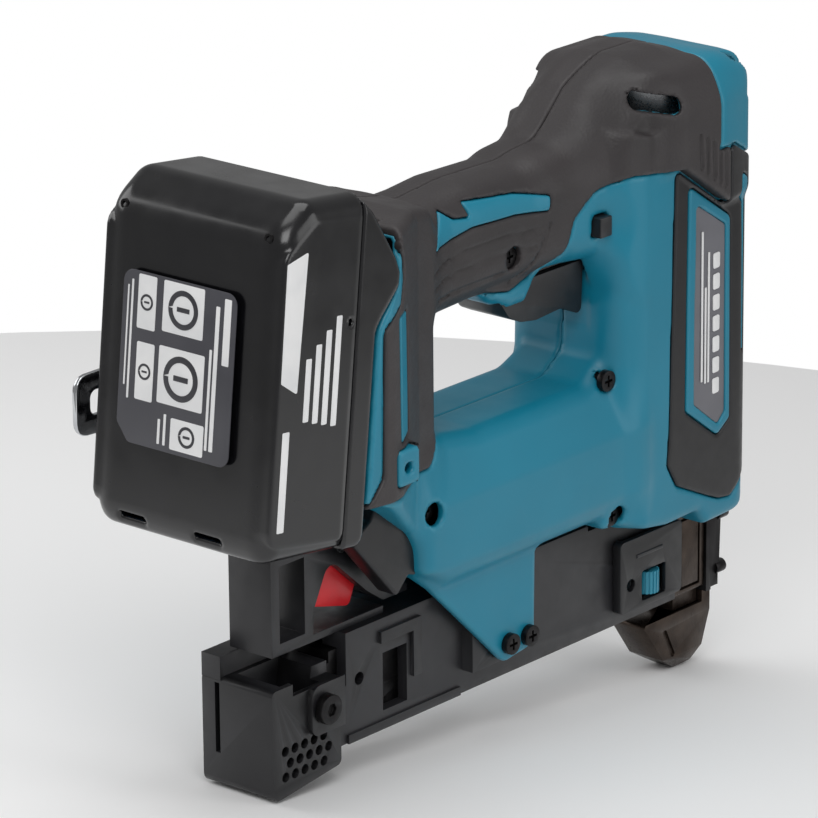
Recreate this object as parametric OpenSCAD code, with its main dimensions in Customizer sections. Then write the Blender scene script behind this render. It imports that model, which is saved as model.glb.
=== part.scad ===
// Cordless brad nailer: battery tool with an air-spring driver, a rear-loading brad magazine
// and a slide-on 18 V battery pack.
// Origin: the brad exit at the nose tip. +X is the tool's front, +Y its left, +Z up the driver.

/* [Housing] */
// Wall thickness of the clamshell halves
wall = 3.2; // [2.6:0.1:3.6]
// Thickness of the rubber grip moulded over the shell
skin = 1.5; // [1:0.1:1.8]
// Half width of the driver housing
house_hw = 27; // [26.5:0.1:27.5]
// Half width of the handle
handle_hw = 17.5; // [17:0.1:19]
// Height of the rear body's upper surface, where the hand opening starts
deck_z = 123.5; // [123:0.1:124]

/* [Battery] */
// Length of the slide-on pack
pack_len = 114; // [112:1:118]
// Width of the pack
pack_w = 75; // [74:1:78]
// Depth of the pack's lower case
pack_case = 39; // [38:0.5:40]
// Forward lean of the pack and its rails, in degrees
pack_tilt = 6.5; // [6:0.1:7]
// Diameter of one cell
cell_d = 18.3; // [18:0.1:18.4]

/* [Drive] */
// Gear module of every gear and the rack
gear_m = 1; // [1:1:1]
// Height of the motor axis
motor_z = 99.5; // [99.4:0.1:99.6]
// Radius of the motor can
motor_r = 20; // [18:0.1:20.4]
// Radius of the cylinder bore
bore_r = 12.5; // [11:0.1:12.5]
// Stroke of the driver
stroke = 60; // [50:1:60]
// Radial running clearance of the shafts
run = 0.05; // [0.02:0.01:0.1]

/* [Magazine] */
// Length of the longest brad
brad_len = 35; // [16:1:35]
// Number of brads on the stick
brad_count = 40; // [10:1:60]
// Underside of the magazine rail
rail_z = 28; // [28:0.1:28]

/* [Fasteners] */
// Thread radius of the housing screws
screw_r = 1.9; // [1.5:0.1:2]
// Head radius of the housing screws
head_r = 3.6; // [3.2:0.1:3.8]

/* [Colours] */
// Housing colour
teal = "#1f8299";
// Rubber grip colour
rubber = "#3a3638";
// Hard black plastic colour
black = "#141416";
// Magazine latch colour
red = "#d8141c";

/* [Hidden] */
fn = 48;
gap = 0.3;
// The gear train: lifter wheel 20 teeth, spur pair 24 and 16, planetary 12, 12 and 36
lift_z = 20;
lift_r = lift_z * gear_m / 2;
lift_y = lift_r + 0.6;
spur_d = (24 + 16) * gear_m / 2;
lift_h = motor_z + sqrt(spur_d * spur_d - lift_y * lift_y);
spur_a = atan2(lift_h - motor_z, lift_y);
planet_d = 12 * gear_m;
blade_bot = 6;
piston_z = 138;
screw_xz = [[-64, 124], [-62, 76], [-158, 104], [-107, 176]];

// Corner rounding of a polygon given as [x, y, radius], each arc in n steps
function unit(v) = v / norm(v);
function arc_at(a, b, c, r, n) = r <= 0 ? [b] :
    let (u = unit(a - b), w = unit(c - b), h = acos(max(-1, min(1, u * w))) / 2,
        t = r / tan(h), m = b + unit(u + w) * (r / sin(h)), s = b + u * t - m, e = b + w * t - m,
        a0 = atan2(s[1], s[0]), d0 = atan2(e[1], e[0]) - a0,
        d = d0 > 180 ? d0 - 360 : d0 < -180 ? d0 + 360 : d0)
    [for (i = [0 : n]) m + r * [cos(a0 + d * i / n), sin(a0 + d * i / n)]];
function soft(p, n = 4) = [for (i = [0 : len(p) - 1])
    let (k = len(p), a = p[(i + k - 1) % k], b = p[i], c = p[(i + 1) % k])
    each arc_at([a[0], a[1]], [b[0], b[1]], [c[0], c[1]], len(b) > 2 ? b[2] : 0, n)];
// The same outline drawn in by d, with its corner radii drawn in or out to suit
function nrm(a, b) = let (u = unit(b - a)) [-u[1], u[0]];
function xy(q) = [q[0], q[1]];
function form(p, d = 0, n = 3) = soft([for (i = [0 : len(p) - 1])
    let (k = len(p), a = xy(p[(i + k - 1) % k]), b = xy(p[i]), c = xy(p[(i + 1) % k]),
        n1 = nrm(a, b), n2 = nrm(b, c), r = len(p[i]) > 2 ? p[i][2] : 0,
        turn = n1[0] * n2[1] - n1[1] * n2[0], q = b + (n1 + n2) * (d / (1 + n1 * n2)))
    [q[0], q[1], r == 0 ? 0 : turn > 0 ? max(r - d, 0) : r + d]], n);
// Outline of a spur gear with straight-sided teeth, one tooth centred on angle 0
function gear_pts(z, add = 0.8, ded = 1.05, tf = 0.44, skip = -1) =
    let (r = z * gear_m / 2, h = tf * PI * gear_m / 2, q = tan(20) * gear_m,
        ra = r + add * gear_m, rd = r - ded * gear_m,
        aa = (h - add * q) / ra * 180 / PI, ad = (h + ded * q) / rd * 180 / PI)
    [for (i = [0 : z - 1]) let (c = 360 / z * i, t = (i == skip) ? rd : ra)
        each [rd * [cos(c - ad), sin(c - ad)], t * [cos(c - aa), sin(c - aa)],
            t * [cos(c + aa), sin(c + aa)], rd * [cos(c + ad), sin(c + ad)]]];

// A side outline [x, z] made solid between two y values
module side(p, y0, y1) {
    translate([0, y1, 0]) rotate([90, 0, 0]) linear_extrude(y1 - y0) polygon(p);
}
// A front outline [y, z] made solid between two x values
module front(p, x0, x1) {
    translate([x0, 0, 0]) rotate([90, 0, 90]) linear_extrude(x1 - x0) polygon(p);
}
// A plan outline [x, y] made solid between two z values
module plan(p, z0, z1) {
    translate([0, 0, z0]) linear_extrude(z1 - z0) polygon(p);
}
module box(x0, x1, y0, y1, z0, z1) {
    translate([x0, y0, z0]) cube([x1 - x0, y1 - y0, z1 - z0]);
}
module rod_x(x0, x1, y, z, r) {
    translate([x0, y, z]) rotate([0, 90, 0]) cylinder(h = x1 - x0, r = r, $fn = fn);
}
module rod_y(x, y0, y1, z, r) {
    translate([x, y1, z]) rotate([90, 0, 0]) cylinder(h = y1 - y0, r = r, $fn = fn);
}
module rod_z(x, y, z0, z1, r) {
    translate([x, y, z0]) cylinder(h = z1 - z0, r = r, $fn = fn);
}
// A gear on an axis along X
module gear_x(x0, x1, y, z, pts, turn) {
    translate([x0, y, z]) rotate([90, 0, 90]) rotate([0, 0, turn])
        linear_extrude(x1 - x0) polygon(pts);
}
// The battery's own frame: x is its depth from the rear face, z its length
module pack() {
    translate([-247, 0, 171]) rotate([0, pack_tilt, 0]) children();
}
// A coil spring standing along Z, as stacked rings joined by a slim sleeve
module coil(x, y, z0, z1, r, w, turns) {
    p = (z1 - z0 - 2 * w) / (turns - 1);
    for (i = [0 : turns - 1]) translate([x, y, z0 + w + p * i])
        rotate_extrude($fn = 32) translate([r - w, 0]) circle(r = w, $fn = 16);
    difference() {
        rod_z(x, y, z0 + w, z1 - w, r - 0.7 * w);
        rod_z(x, y, z0, z1, r - 1.3 * w);
    }
}

// Outlines of the housing, counter-clockwise
head_plan = [[-60, -15, 4], [-34, -33, 14], [-12, -33, 16], [8, -25, 12], [18, -9, 8],
    [18, 9, 8], [8, 25, 12], [-12, 33, 16], [-34, 33, 14], [-60, 15, 4]];
col_plan = [[-60, -22, 6], [-50, -28, 8], [8, -25, 12], [18, -9, 8], [18, 9, 8], [8, 25, 12],
    [-50, 28, 8], [-60, 22, 6]];
head_front = [[-house_hw, 50], [house_hw, 50], [house_hw, 182, 8], [33, 192, 8],
    [33, 214, 10], [24, 228, 8], [-24, 228, 8], [-33, 214, 10], [-33, 192, 8],
    [-house_hw, 182, 8]];
head_side = [[-60, 70, 3], [-36, 66], [-19, 66, 3], [-14, 60, 2], [9, 60, 4], [18, 78, 12],
    [18, 212, 12], [10, 228, 10], [-42, 228, 12], [-60, 212, 12]];
handle_side = [[-160, 160, 3], [-112, 164.4, 8], [-66, 164.4], [-56, 150], [-50, 150],
    [-50, 212], [-62, 212, 10], [-76, 201.5, 12], [-124, 202.5, 20], [-160, 199, 3]];
handle_plan = [[-160, -20, 2], [-140, -handle_hw, 20], [-90, -handle_hw, 20],
    [-66, -21, 12], [-50, -27], [-50, 27], [-66, 21, 12], [-90, handle_hw, 20],
    [-140, handle_hw, 20], [-160, 20, 2]];
handle_front = [[-13, 150, 5], [13, 150, 5], [21, 172, 10], [26, 190, 12], [13, 206, 10],
    [-13, 206, 10], [-26, 190, 12], [-21, 172, 10]];
low_side = [[-163, 84, 4], [-150, 75.5, 6], [-50, 75.5], [-50, 150],
    [-59.5, 150, 2], [-61, 131, 6], [-72, deck_z, 8], [-128, deck_z, 8], [-163, 128, 4]];
low_front = [[-22, 72, 4], [22, 72, 4], [27, 84, 6], [27, 110, 8], [19, 126, 8],
    [19, 152], [-19, 152], [-19, 126, 8], [-27, 110, 8], [-27, 84, 6]];
mount_side = [[-203, 122, 4], [-186, 117, 4], [-158, 92, 6], [-150, 92], [-150, 202, 6],
    [-170, 206, 8], [-184, 203, 4], [-196, 187, 3]];
mount_plan = [[-205, -37.4, 2], [-188, -37.4, 6], [-166, -22, 12], [-150, -19.5],
    [-150, 19.5], [-166, 22, 12], [-188, 37.4, 6], [-205, 37.4, 2]];
flange_side = [[-115.6, 38.8, 4], [-100, 41, 4], [-99, 84, 2], [-163, 90, 2],
    [-161, 82, 3], [-153.5, 75.5, 4], [-127.4, 50.4, 4]];

module head_solid(d) {
    intersection() {
        side(form(head_side, d), -40, 40);
        union() {
            plan(form(head_plan, d), 186 + d * 0.4, 240);
            plan(form(col_plan, d), 40, 192 - d * 0.4);
        }
        front(form(head_front, d), -70, 30);
    }
}
module handle_solid(d) {
    intersection() {
        side(form(handle_side, d), -40, 40);
        plan(form(handle_plan, d), 140, 220);
        front(form(handle_front, d), -162, -49);
    }
}
module low_solid(d) {
    intersection() {
        side(form(low_side, d), -40, 40);
        front(form(low_front, d), -164, -49);
    }
}
module mount_solid(d) {
    intersection() {
        side(form(mount_side, d), -40, 40);
        plan(form(mount_plan, d), 80, 220);
        // the rails' block stays solid
        if (d > 2) pack() box(64.3, 130, -50, 50, -90, 90);
    }
}
// The whole outer form, or with d above 0 the same form drawn in by d
module body_form(d) {
    head_solid(d);
    handle_solid(d);
    low_solid(d);
    mount_solid(d);
    // the inset parts meet inside, so the hollow runs through
    if (d > 0) {
        box(-62, -50, -17, 17, 170, 196);
        box(-66, -50, -20, 20, 84, 119);
        box(-160, -148, -14, 14, 98, 118);
        box(-164, -146, -14, 14, 168, 194);
    }
}
// The region that the rubber grip covers
grip_zone = [[-172, 214], [-172, 180], [-158, 176, 4], [-148, 188, 6], [-138, 197, 4],
    [-129, 195, 3], [-112, 190, 6], [-100, 187, 3], [-89, 187, 3], [-88.7, 180, 3],
    [-113, 182, 6], [-132, 177, 6], [-149.2, 162, 3], [-149.2, 155, 2], [-106, 155, 3],
    [-97, 163.4, 4], [-79, 168.6, 5], [-76.4, 180.7, 6], [-66, 191, 8], [-56, 192, 6],
    [-36, 190, 6], [-33, 176, 6], [-18, 176, 4], [-15, 196], [-15, 240], [-172, 240]];
bump_zone = [[-26, 70, 6], [-14, 61, 4], [-2, 61, 4], [3, 74, 6], [7, 120], [10, 176, 6],
    [-16, 186, 4], [-28, 186, 5], [-34, 170, 6], [-36, 92, 10]];
plate_zone = [[-10, 93, 3], [-3, 96, 3], [-2, 168, 3], [-22, 181, 4], [-26, 176, 4],
    [-26, 110, 6]];

module half(s) {
    if (s < 0) {
        box(-260, 40, -60, 0, 0, 260);
    } else {
        box(-260, 40, 0, 60, 0, 260);
    }
}
module grip_layer(zone, d) {
    intersection() {
        side(form(zone), -60, 60);
        difference() {
            union() {
                head_solid(0);
                handle_solid(0);
                mount_solid(0);
            }
            head_solid(d);
            handle_solid(d);
            mount_solid(d);
        }
    }
}
module bump_layer(d) {
    intersection() {
        side(form(bump_zone), -60, 60);
        difference() {
            head_solid(0);
            head_solid(d);
        }
    }
}
// T-slot for the battery's rails, cut in the back of the mount
module rail_slot() {
    pack() {
        box(40, 52.6, -60, 60, -70, 70);
        box(52, 58.4, -27.4, 27.4, -44, 70);
        box(54.9, 59.4, -31, 31, -44, 70);
        box(58, 64, -23, 23, -44, 70);
        box(63.9, 64.4, -9.1, 9.1, -22.1, 14.1);
    }
}
module housing_half(s) {
    difference() {
        union() {
            intersection() {
                difference() {
                    union() {
                        body_form(0);
                        // lugs and the screw pad under the driver housing
                        side(soft([[-69, 72, 2], [-42, 70, 2], [-42, 78], [-69, 84]]), -24, 24);
                        // square pads of the belt hook
                        side(soft([[-188, 123, 2], [-177.5, 123, 2], [-177.5, 135, 2],
                            [-188, 135, 2]]), -37.4, 37.4);
                    }
                    body_form(wall);
                }
                half(s);
            }
            // flange that carries the magazine
            intersection() {
                if (s < 0) {
                    side(form(flange_side), -20, -16.6);
                } else {
                    side(form(flange_side), 16.6, 20);
                }
                box(-170, -90, -30, 30, 30, 79);
            }
            // screw bosses
            for (q = screw_xz) intersection() {
                rod_y(q[0], -24, 24, q[1], head_r + 2);
                half(s);
                body_form(0.5);
            }
        }
        grip_layer(grip_zone, skin);
        bump_layer(2);
        rail_slot();
        cap_space();
        bottom_opening();
        trigger_slot();
        for (q = screw_xz) {
            rod_y(q[0], -30, 30, q[1], screw_r + 0.1);
            rod_y(q[0], -40, q[1] > 170 ? -13 : -20, q[1], head_r + 0.4);
        }
        for (x = [-114, -104]) rod_y(x, -30, 30, 45.4, 2.1);
        // lock button passage
        box(-70.4, -61.6, -17.2, 17.2, 172.6, 183.4);
        box(-69.4, -62.6, -40, 40, 174.1, 181.9);
        // vents of the head
        rotate_vents();
        // belt hook holes, one on each flank
        rod_y(-183, -45, 45, 129, 2);
    }
    // floor of each hook hole stays solid behind the thread
    hook_boss(s);
}
module hook_boss(s) {
    difference() {
        if (s < 0) {
            rod_y(-183, -30.9, -22, 129, 4.2);
        } else {
            rod_y(-183, 22, 30.9, 129, 4.2);
        }
        rod_y(-183, -45, 45, 129, 2);
    }
}
module rotate_vents() {
    for (s = [-1, 1]) translate([-46, s * 24, 214]) rotate([0, 0, s * 33])
        translate([0, 0, 0]) rotate([90, 0, 0])
            linear_extrude(14, center = true)
                polygon(soft([[-9, -2.6, 2], [9, -3.4, 2.5], [9, 3.4, 2.5], [-9, 2.6, 2]]));
}
// The front cap's space in the halves
module cap_space() {
    box(-15, 30, -50, 50, 188, 240);
}
// Where the nose, the contact arm and the magazine leave the housing
module bottom_opening() {
    box(-62, 16.2, -13, 13, 50, 74);
    box(5, 15, -4.4, 4.4, 70, 82);
    box(-150, -62, -13, 13, 70, 73);
}
// The trigger's slot in the underside of the handle
module trigger_slot() {
    box(-108.5, -61, -11.3, 11.3, 140, 171);
}

module housing_right() {
    color(teal) housing_half(-1);
}
module housing_left() {
    color(teal) housing_half(1);
}
// Front cap over the head
module front_cap() {
    color(teal) difference() {
        intersection() {
            head_solid(0);
            box(-14.9, 30, -50, 50, 188.1, 240);
        }
        head_solid(wall);
        stadium(25.1, 187, 218.1);
        // exhaust slot on the right of the front corner
        side(soft([[2, 230], [6.4, 230], [16.6, 220.7], [14, 217.6, 1], [8.3, 221.7, 1]]), -15.4, -12.4);
    }
}
module grip_half(s) {
    difference() {
        intersection() {
            grip_layer(grip_zone, skin - 0.02);
            half(s);
        }
        cap_space();
        trigger_slot();
        rail_slot();
        rotate_vents();
        box(-69.4, -62.6, -40, 40, 174.1, 181.9);
        rod_y(-107, -40, 40, 176, head_r + 1);
        side(form(bump_zone, -0.1), -60, 60);
    }
}
module grip_right() {
    color(rubber) grip_half(-1);
}
module grip_left() {
    color(rubber) grip_half(1);
}
module bumper_half(s) {
    difference() {
        intersection() {
            bump_layer(1.98);
            half(s);
        }
        if (s < 0) {
            side(form(plate_zone), -40, -house_hw + 1);
        }
        bottom_opening();
        cap_space();
        box(-40, 20, -12, 12, 40, 200);
    }
}
module bumper_right() {
    color(black) bumper_half(-1);
}
module bumper_left() {
    color(black) bumper_half(1);
}
// Plain rating plate in the right bumper
module name_plate() {
    color("#77767b") intersection() {
        side(form(plate_zone, 0.1), -house_hw + 0.2, -house_hw + 0.98);
        head_solid(0);
    }
}
module screw_y(x, z, y0, len) {
    // pan head outwards, with a cross recess
    difference() {
        union() {
            rod_y(x, y0, y0 + len, z, screw_r);
            rod_y(x, y0 - 2.4, y0, z, head_r);
        }
        box(x - 2, x + 2, y0 - 3, y0 - 1.2, z - 0.45, z + 0.45);
        box(x - 0.45, x + 0.45, y0 - 3, y0 - 1.2, z - 2, z + 2);
    }
}
module housing_screws() {
    color(black) for (q = screw_xz) screw_y(q[0], q[1], q[1] > 170 ? -13.02 : -20.02, 26);
}
module flange_screws() {
    color(black) for (x = [-114, -104]) {
        screw_y(x, 45.4, -20.1, 6.6);
        mirror([0, 1, 0]) screw_y(x, 45.4, -20.1, 6.6);
    }
}

// Trigger, pulled up into the handle
module trigger() {
    color(black) difference() {
        union() {
            side(soft([[-105.7, 164], [-105.7, 158.7, 2], [-101.4, 152.9, 4], [-95.3, 150, 6],
                [-87.5, 148.8, 8], [-74.5, 149.7, 6], [-64, 145, 2], [-63, 164]]), -10.6, 10.6);
            box(-104, -66, -8, 8, 163, 166);
            box(-92, -84, -3, 3, 165, 171);
        }
        rod_z(-98, 0, 160, 170, 3.2);
    }
}
module trigger_spring() {
    color("#8a8c90") coil(-98, 0, 160, 171.5, 2.6, 0.5, 5);
}
module trigger_switch() {
    color("#1c1c20") difference() {
        union() {
            box(-101, -76, -8, 8, 176.5, 193);
            box(-101, -93, -6, 6, 171.5, 176.6);
        }
        rod_x(-104, -98, 4, 188, 1.2);
        rod_x(-104, -98, -4, 188, 1.2);
    }
}
// Lock-off button, pushed across the handle
module lock_button() {
    color(black) difference() {
        union() {
            box(-70, -62, -16.8, 14, 173, 183);
            box(-69, -63, -23, 23, 174.5, 181.5);
        }
        box(-71, -61, -10, 10, 170, 176);
    }
}

// Battery terminal block in the mount
module terminal_block() {
    color(black) pack() difference() {
        union() {
            box(64.3, 70, -21.6, 21.6, -36, 30);
            box(62.4, 64.4, -9, 9, -22, 14);
        }
        box(62, 66, -1, 1, -23, 10);
    }
    color("#b08d57") pack() for (y = [-5.6, 4.4]) box(55, 63, y, y + 1.2, -18, 6);
}
module controller_board() {
    color("#1d4d35") pack() {
        box(71.5, 73.1, -17, 17, -30, 26);
        box(73, 77, -14, -4, -18, 14);
        box(73, 79, 2, 14, -20, -6);
        box(73, 76, 3, 12, 2, 14);
    }
}

// Motor and planetary gear, on an axis along X
module motor_can() {
    color("#55585c") difference() {
        union() {
            rod_x(-146, -96, 0, motor_z, motor_r);
            rod_x(-150, -146, 0, motor_z, 8);
        }
        rod_x(-143, -99, 0, motor_z, motor_r - 2.5);
        rod_x(-151, -95, 0, motor_z, 2.5 + run);
        rod_x(-99.5, -95, 0, motor_z, 7);
        for (k = [0 : 5]) translate([-145, 0, motor_z]) rotate([60 * k, 0, 0])
            translate([0, 0, 13]) rotate([0, 90, 0]) cylinder(h = 5, r = 2.6, center = true, $fn = 24);
    }
}
module motor_shaft() {
    color("#9da0a3") {
        rod_x(-152, -85.6, 0, motor_z, 2.5);
        difference() {
            rod_x(-138, -104, 0, motor_z, 13);
            for (k = [0 : 7]) translate([-121, 0, motor_z]) rotate([45 * k, 0, 0])
                translate([0, 0, 12.6]) cube([40, 2.4, 3], center = true);
        }
        gear_x(-85.7, -74, 0, motor_z, gear_pts(12, 0.8, 1.05, 0.42), 0);
    }
}
module cooling_fan() {
    color(black) difference() {
        union() {
            rod_x(-95, -93.6, 0, motor_z, 18);
            rod_x(-95, -88.5, 0, motor_z, 5);
            for (k = [0 : 11]) translate([-91.4, 0, motor_z]) rotate([30 * k, 0, 0])
                translate([0, 0, 11]) cube([4.8, 1.2, 12.6], center = true);
        }
        rod_x(-96, -88, 0, motor_z, 2.5);
    }
}
module ring_gear() {
    color("#6d7075") difference() {
        rod_x(-87.6, -69.6, 0, motor_z, 20.6);
        gear_x(-85.8, -60, 0, motor_z, gear_pts(36, 1.05, 0.8, 0.56), 5);
        rod_x(-90, -80, 0, motor_z, 8);
    }
}
module planet(k) {
    a = 90 + 120 * k;
    color("#8f9296") difference() {
        gear_x(-85.4, -74, planet_d * cos(a), motor_z + planet_d * sin(a), gear_pts(12), a + 195);
        rod_x(-90, -70, planet_d * cos(a), motor_z + planet_d * sin(a), 2 + run);
    }
}
module planet_gear_1() {
    planet(0);
}
module planet_gear_2() {
    planet(1);
}
module planet_gear_3() {
    planet(2);
}
module planet_carrier() {
    color("#7c7f83") {
        rod_x(-73.4, -70, 0, motor_z, 16.6);
        for (k = [0 : 2]) rod_x(-85.4, -73.3, planet_d * cos(90 + 120 * k),
            motor_z + planet_d * sin(90 + 120 * k), 2);
        rod_x(-70.1, -36, 0, motor_z, 4);
        gear_x(-48.5, -43, 0, motor_z, gear_pts(16), spur_a);
    }
}
module lifter_shaft() {
    color("#8f9296") {
        rod_x(-49.5, 4.6, lift_y, lift_h, 4);
        rod_x(4.5, 9, lift_y, lift_h, 3);
        gear_x(-48.5, -43, lift_y, lift_h, gear_pts(24), spur_a + 187.5);
        gear_x(-2.5, 2.5, lift_y, lift_h, gear_pts(lift_z, 0.8, 1.05, 0.44, 9), 0);
    }
}
module ball_bearing(x0, x1, y, z, ri, ro) {
    difference() {
        rod_x(x0, x1, y, z, ro);
        rod_x(x0 - 1, x1 + 1, y, z, ri + run);
        for (e = [x0 - 1, x1 - 0.4]) difference() {
            rod_x(e, e + 1.4, y, z, ro - 1.2);
            rod_x(e - 1, e + 2, y, z, ri + 1.2);
        }
    }
}
module drive_bearings() {
    color("#a9acb0") {
        ball_bearing(-41.5, -36.5, lift_y, lift_h, 4, 8);
        ball_bearing(-41.5, -36.5, 0, motor_z, 4, 8);
        ball_bearing(4.8, 8.6, lift_y, lift_h, 3, 6.5);
    }
}
// Cast frame that holds the bearings, the cylinder and the nose
module gear_case() {
    color("#4c4f53") difference() {
        union() {
            box(-41.5, -36.5, -20, 22, 72, 132);
            box(4.8, 8.6, -12, 17.5, 72, 132);
            box(-41.5, 8.6, -14, 14, 72, 76);
            box(-36.6, 8.6, -17, 17.5, 128, 132);
            box(-36.6, 4.9, -17, -13.5, 76, 132);
        }
        rod_x(-45, -30, lift_y, lift_h, 8);
        rod_x(-45, -30, 0, motor_z, 8);
        for (y = [-10.3, 10.3]) rod_z(-4, y, 70, 80, 1.9);
        rod_x(4, 10, lift_y, lift_h, 6.5);
        box(-1.1, 1.1, -7.4, 2, 70, 77);
        box(-1.1, 1.1, -7.4, 7.4, 120, 134);
    }
}

// Air spring: cylinder, chamber, piston and blade
module cylinder_tube() {
    difference() {
        union() {
            rod_z(0, 0, 132, 212, bore_r + 2);
        }
        rod_z(0, 0, 131, 213, bore_r);
    }
}
module stadium(r, z0, z1) {
    rod_z(-22, 0, z0, z1, r);
    rod_z(-10.5, 0, z0, z1, r);
    box(-22, -10.5, -r, r, z0, z1);
}
module pressure_chamber() {
    color("#66696d") difference() {
        stadium(25, 192, 218);
        stadium(22.5, 195, 215.5);
        rod_z(0, 0, 190, 212, bore_r + 2);
    }
}
module piston() {
    color("#b9bcc0") difference() {
        rod_z(0, 0, piston_z, piston_z + 12, bore_r - 0.15);
        difference() {
            rod_z(0, 0, piston_z + 7, piston_z + 10, 20);
            rod_z(0, 0, piston_z + 6, piston_z + 11, bore_r - 2);
        }
        box(-0.8, 0.8, -7, 7, piston_z - 1, piston_z + 6);
        rod_x(-20, 20, 0, piston_z + 3.5, 1.5);
    }
}
module piston_seal() {
    color("#222226") difference() {
        rod_z(0, 0, piston_z + 7.1, piston_z + 9.9, bore_r - 0.05);
        rod_z(0, 0, piston_z + 7, piston_z + 10, bore_r - 2);
    }
}
module stop_bumper() {
    color("#2c2c2e") difference() {
        rod_z(0, 0, 132, piston_z - 0.2, bore_r - 0.05);
        rod_z(0, 0, 131, piston_z + 1, 8);
        difference() {
            rod_z(0, 0, 134, 135.6, 20);
            rod_z(0, 0, 133, 136.6, bore_r - 1.4);
        }
    }
}
module driver_blade() {
    color("#c8cbce") difference() {
        union() {
            box(-0.8, 0.8, -1.2, 1.2, blade_bot, 52);
            box(-0.8, 0.8, -7, -0.4, 50, 130);
            box(-0.8, 0.8, -7, 7, 129, piston_z + 6);
            for (k = [-20 : 1]) translate([0, 0, lift_h + PI * gear_m * (k + 0.5)])
                front([[-0.5, -1.02], [lift_y - lift_r + 0.8, -0.4],
                    [lift_y - lift_r + 0.8, 0.4], [-0.5, 1.02]], -0.8, 0.8);
        }
        rod_x(-2, 2, 0, piston_z + 3.5, 1.5);
    }
}
module blade_pin() {
    color("#9da0a3") rod_x(-9, 9, 0, piston_z + 3.5, 1.5);
}

// Nose: fixed frame, contact arm and foot
module nose_frame() {
    color("#3a3430") difference() {
        union() {
            side(soft([[-13.5, 28.6, 1], [6.2, 28.6], [6.2, 71.9], [-13.5, 71.9]]), -8.6, 8.6);
            side(soft([[-7, 13.5, 1], [5, 13.5, 1], [6.2, 20], [6.2, 30], [-7, 30]]), -5.5, 5.5);
            box(-13.5, 6.2, -12.7, 12.7, 62, 71.9);
        }
        box(-1, 1, -1.5, 1.5, 0, 80);
        box(-1, 1, -7.3, 1.8, 48, 80);
        box(-20, 0, -1.6, 1.6, 29, 67);
        for (y = [-10.3, 10.3]) {
            rod_z(-4, y, 58, 80, 2);
            rod_z(-4, y, 58, 62, 2.4);
        }
        difference() {
            box(-7, 4, -10, -6.6, 30, 56);
            box(-6, 3, -10, -6, 31, 55);
        }
    }
}
module nose_screws() {
    color("#303034") for (y = [-10.3, 10.3]) difference() {
        union() {
            rod_z(-4, y, 61.9, 75.6, 1.9);
            rod_z(-4, y, 59.8, 61.95, 2.3);
        }
        translate([-4, y, 59]) cylinder(h = 2, r = 1.2, $fn = 6);
    }
}
module contact_arm() {
    color("#2b2b2e") difference() {
        union() {
            box(6.8, 9.4, -9.4, 9.4, 26, 58);
            side(soft([[9.3, 30], [14, 32, 1], [15, 55, 2], [9.3, 58]]), -9.4, -6.6);
            side(soft([[9.3, 30], [14, 32, 1], [15, 55, 2], [9.3, 58]]), 6.6, 9.4);
            box(9.8, 13.4, -3.4, 3.4, 55, 84);
            box(9.3, 13.4, -9.4, 9.4, 54, 58);
            box(9.3, 13.4, -9.4, 9.4, 27, 31);
            rod_x(13, 18, -8, 53, 2.6);
            rod_x(12, 17, -8, 33, 2.4);
        }
        box(5, 12, -4.6, 4.6, 35, 50);
        rod_z(11.6, 0, 80, 86, 1.2);
    }
}
module contact_foot() {
    color("#3d3833") difference() {
        intersection() {
            side(soft([[-26, 21.8, 1], [-14.7, 6, 2], [-6, 0.6], [-5, 0], [4, 0], [5, 0.6],
                [11.5, 18, 2], [11.5, 25.9], [7, 25.9], [7, 21.8]]), -9.4, 9.4);
            front([[-4, 0], [4, 0], [7.4, 6], [7.4, 26], [-7.4, 26], [-7.4, 6]], -30, 20);
        }
        // exit, clearance of the fixed nose and the side slots
        box(-2.2, 2.2, -1.6, 1.6, -2, 8);
        side([[-7.8, 40], [-7.8, 7], [5.4, 7], [6.95, 14], [6.95, 40]], -6, 6);
        for (s = [-1, 1]) side(soft([[-15.5, 17, 1], [-10, 6, 1], [-7.5, 6, 1], [-13, 17, 1]]),
            s > 0 ? 6.6 : -12, s > 0 ? 12 : -6.6);
    }
}
module contact_spring() {
    color("#8a8c90") coil(11.6, 0, 84.1, 99.6, 2.4, 0.5, 6);
}
module selector_cover() {
    color(black) difference() {
        union() {
            side(soft([[-48.7, 34.4, 2], [-15, 34.4, 2], [-15, 60.4, 2], [-48.7, 60.4, 2]]),
                -15.6, -13.6);
            side(soft([[-48.7, 34.4, 2], [-46, 34.4], [-46, 60.4], [-48.7, 60.4, 2]]), -13.7, -12.1);
            side(soft([[-20, 34.4], [-15, 34.4, 2], [-15, 60.4, 2], [-20, 60.4]]), -13.7, -12.1);
        }
        side(soft([[-37, 36.6, 1], [-24, 36.6, 1], [-24, 47.4, 1], [-37, 47.4, 1]]), -20, -10);
        rod_y(-43, -20, -10, 44, 2.2);
    }
    color(black) side([[-40, 53], [-26, 53], [-26, 54.2], [-40, 54.2]], -16, -15.5);
}
module depth_wheel() {
    color(teal) difference() {
        union() {
            rod_z(-30.5, -12.4, 38, 46, 3.9);
            for (k = [0 : 17]) translate([-30.5, -12.4, 38]) rotate([0, 0, 20 * k])
                translate([3.4, -0.4, 0]) cube([0.9, 0.8, 8]);
        }
        rod_z(-30.5, -12.4, 30, 50, 1.1 + run);
    }
}

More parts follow.
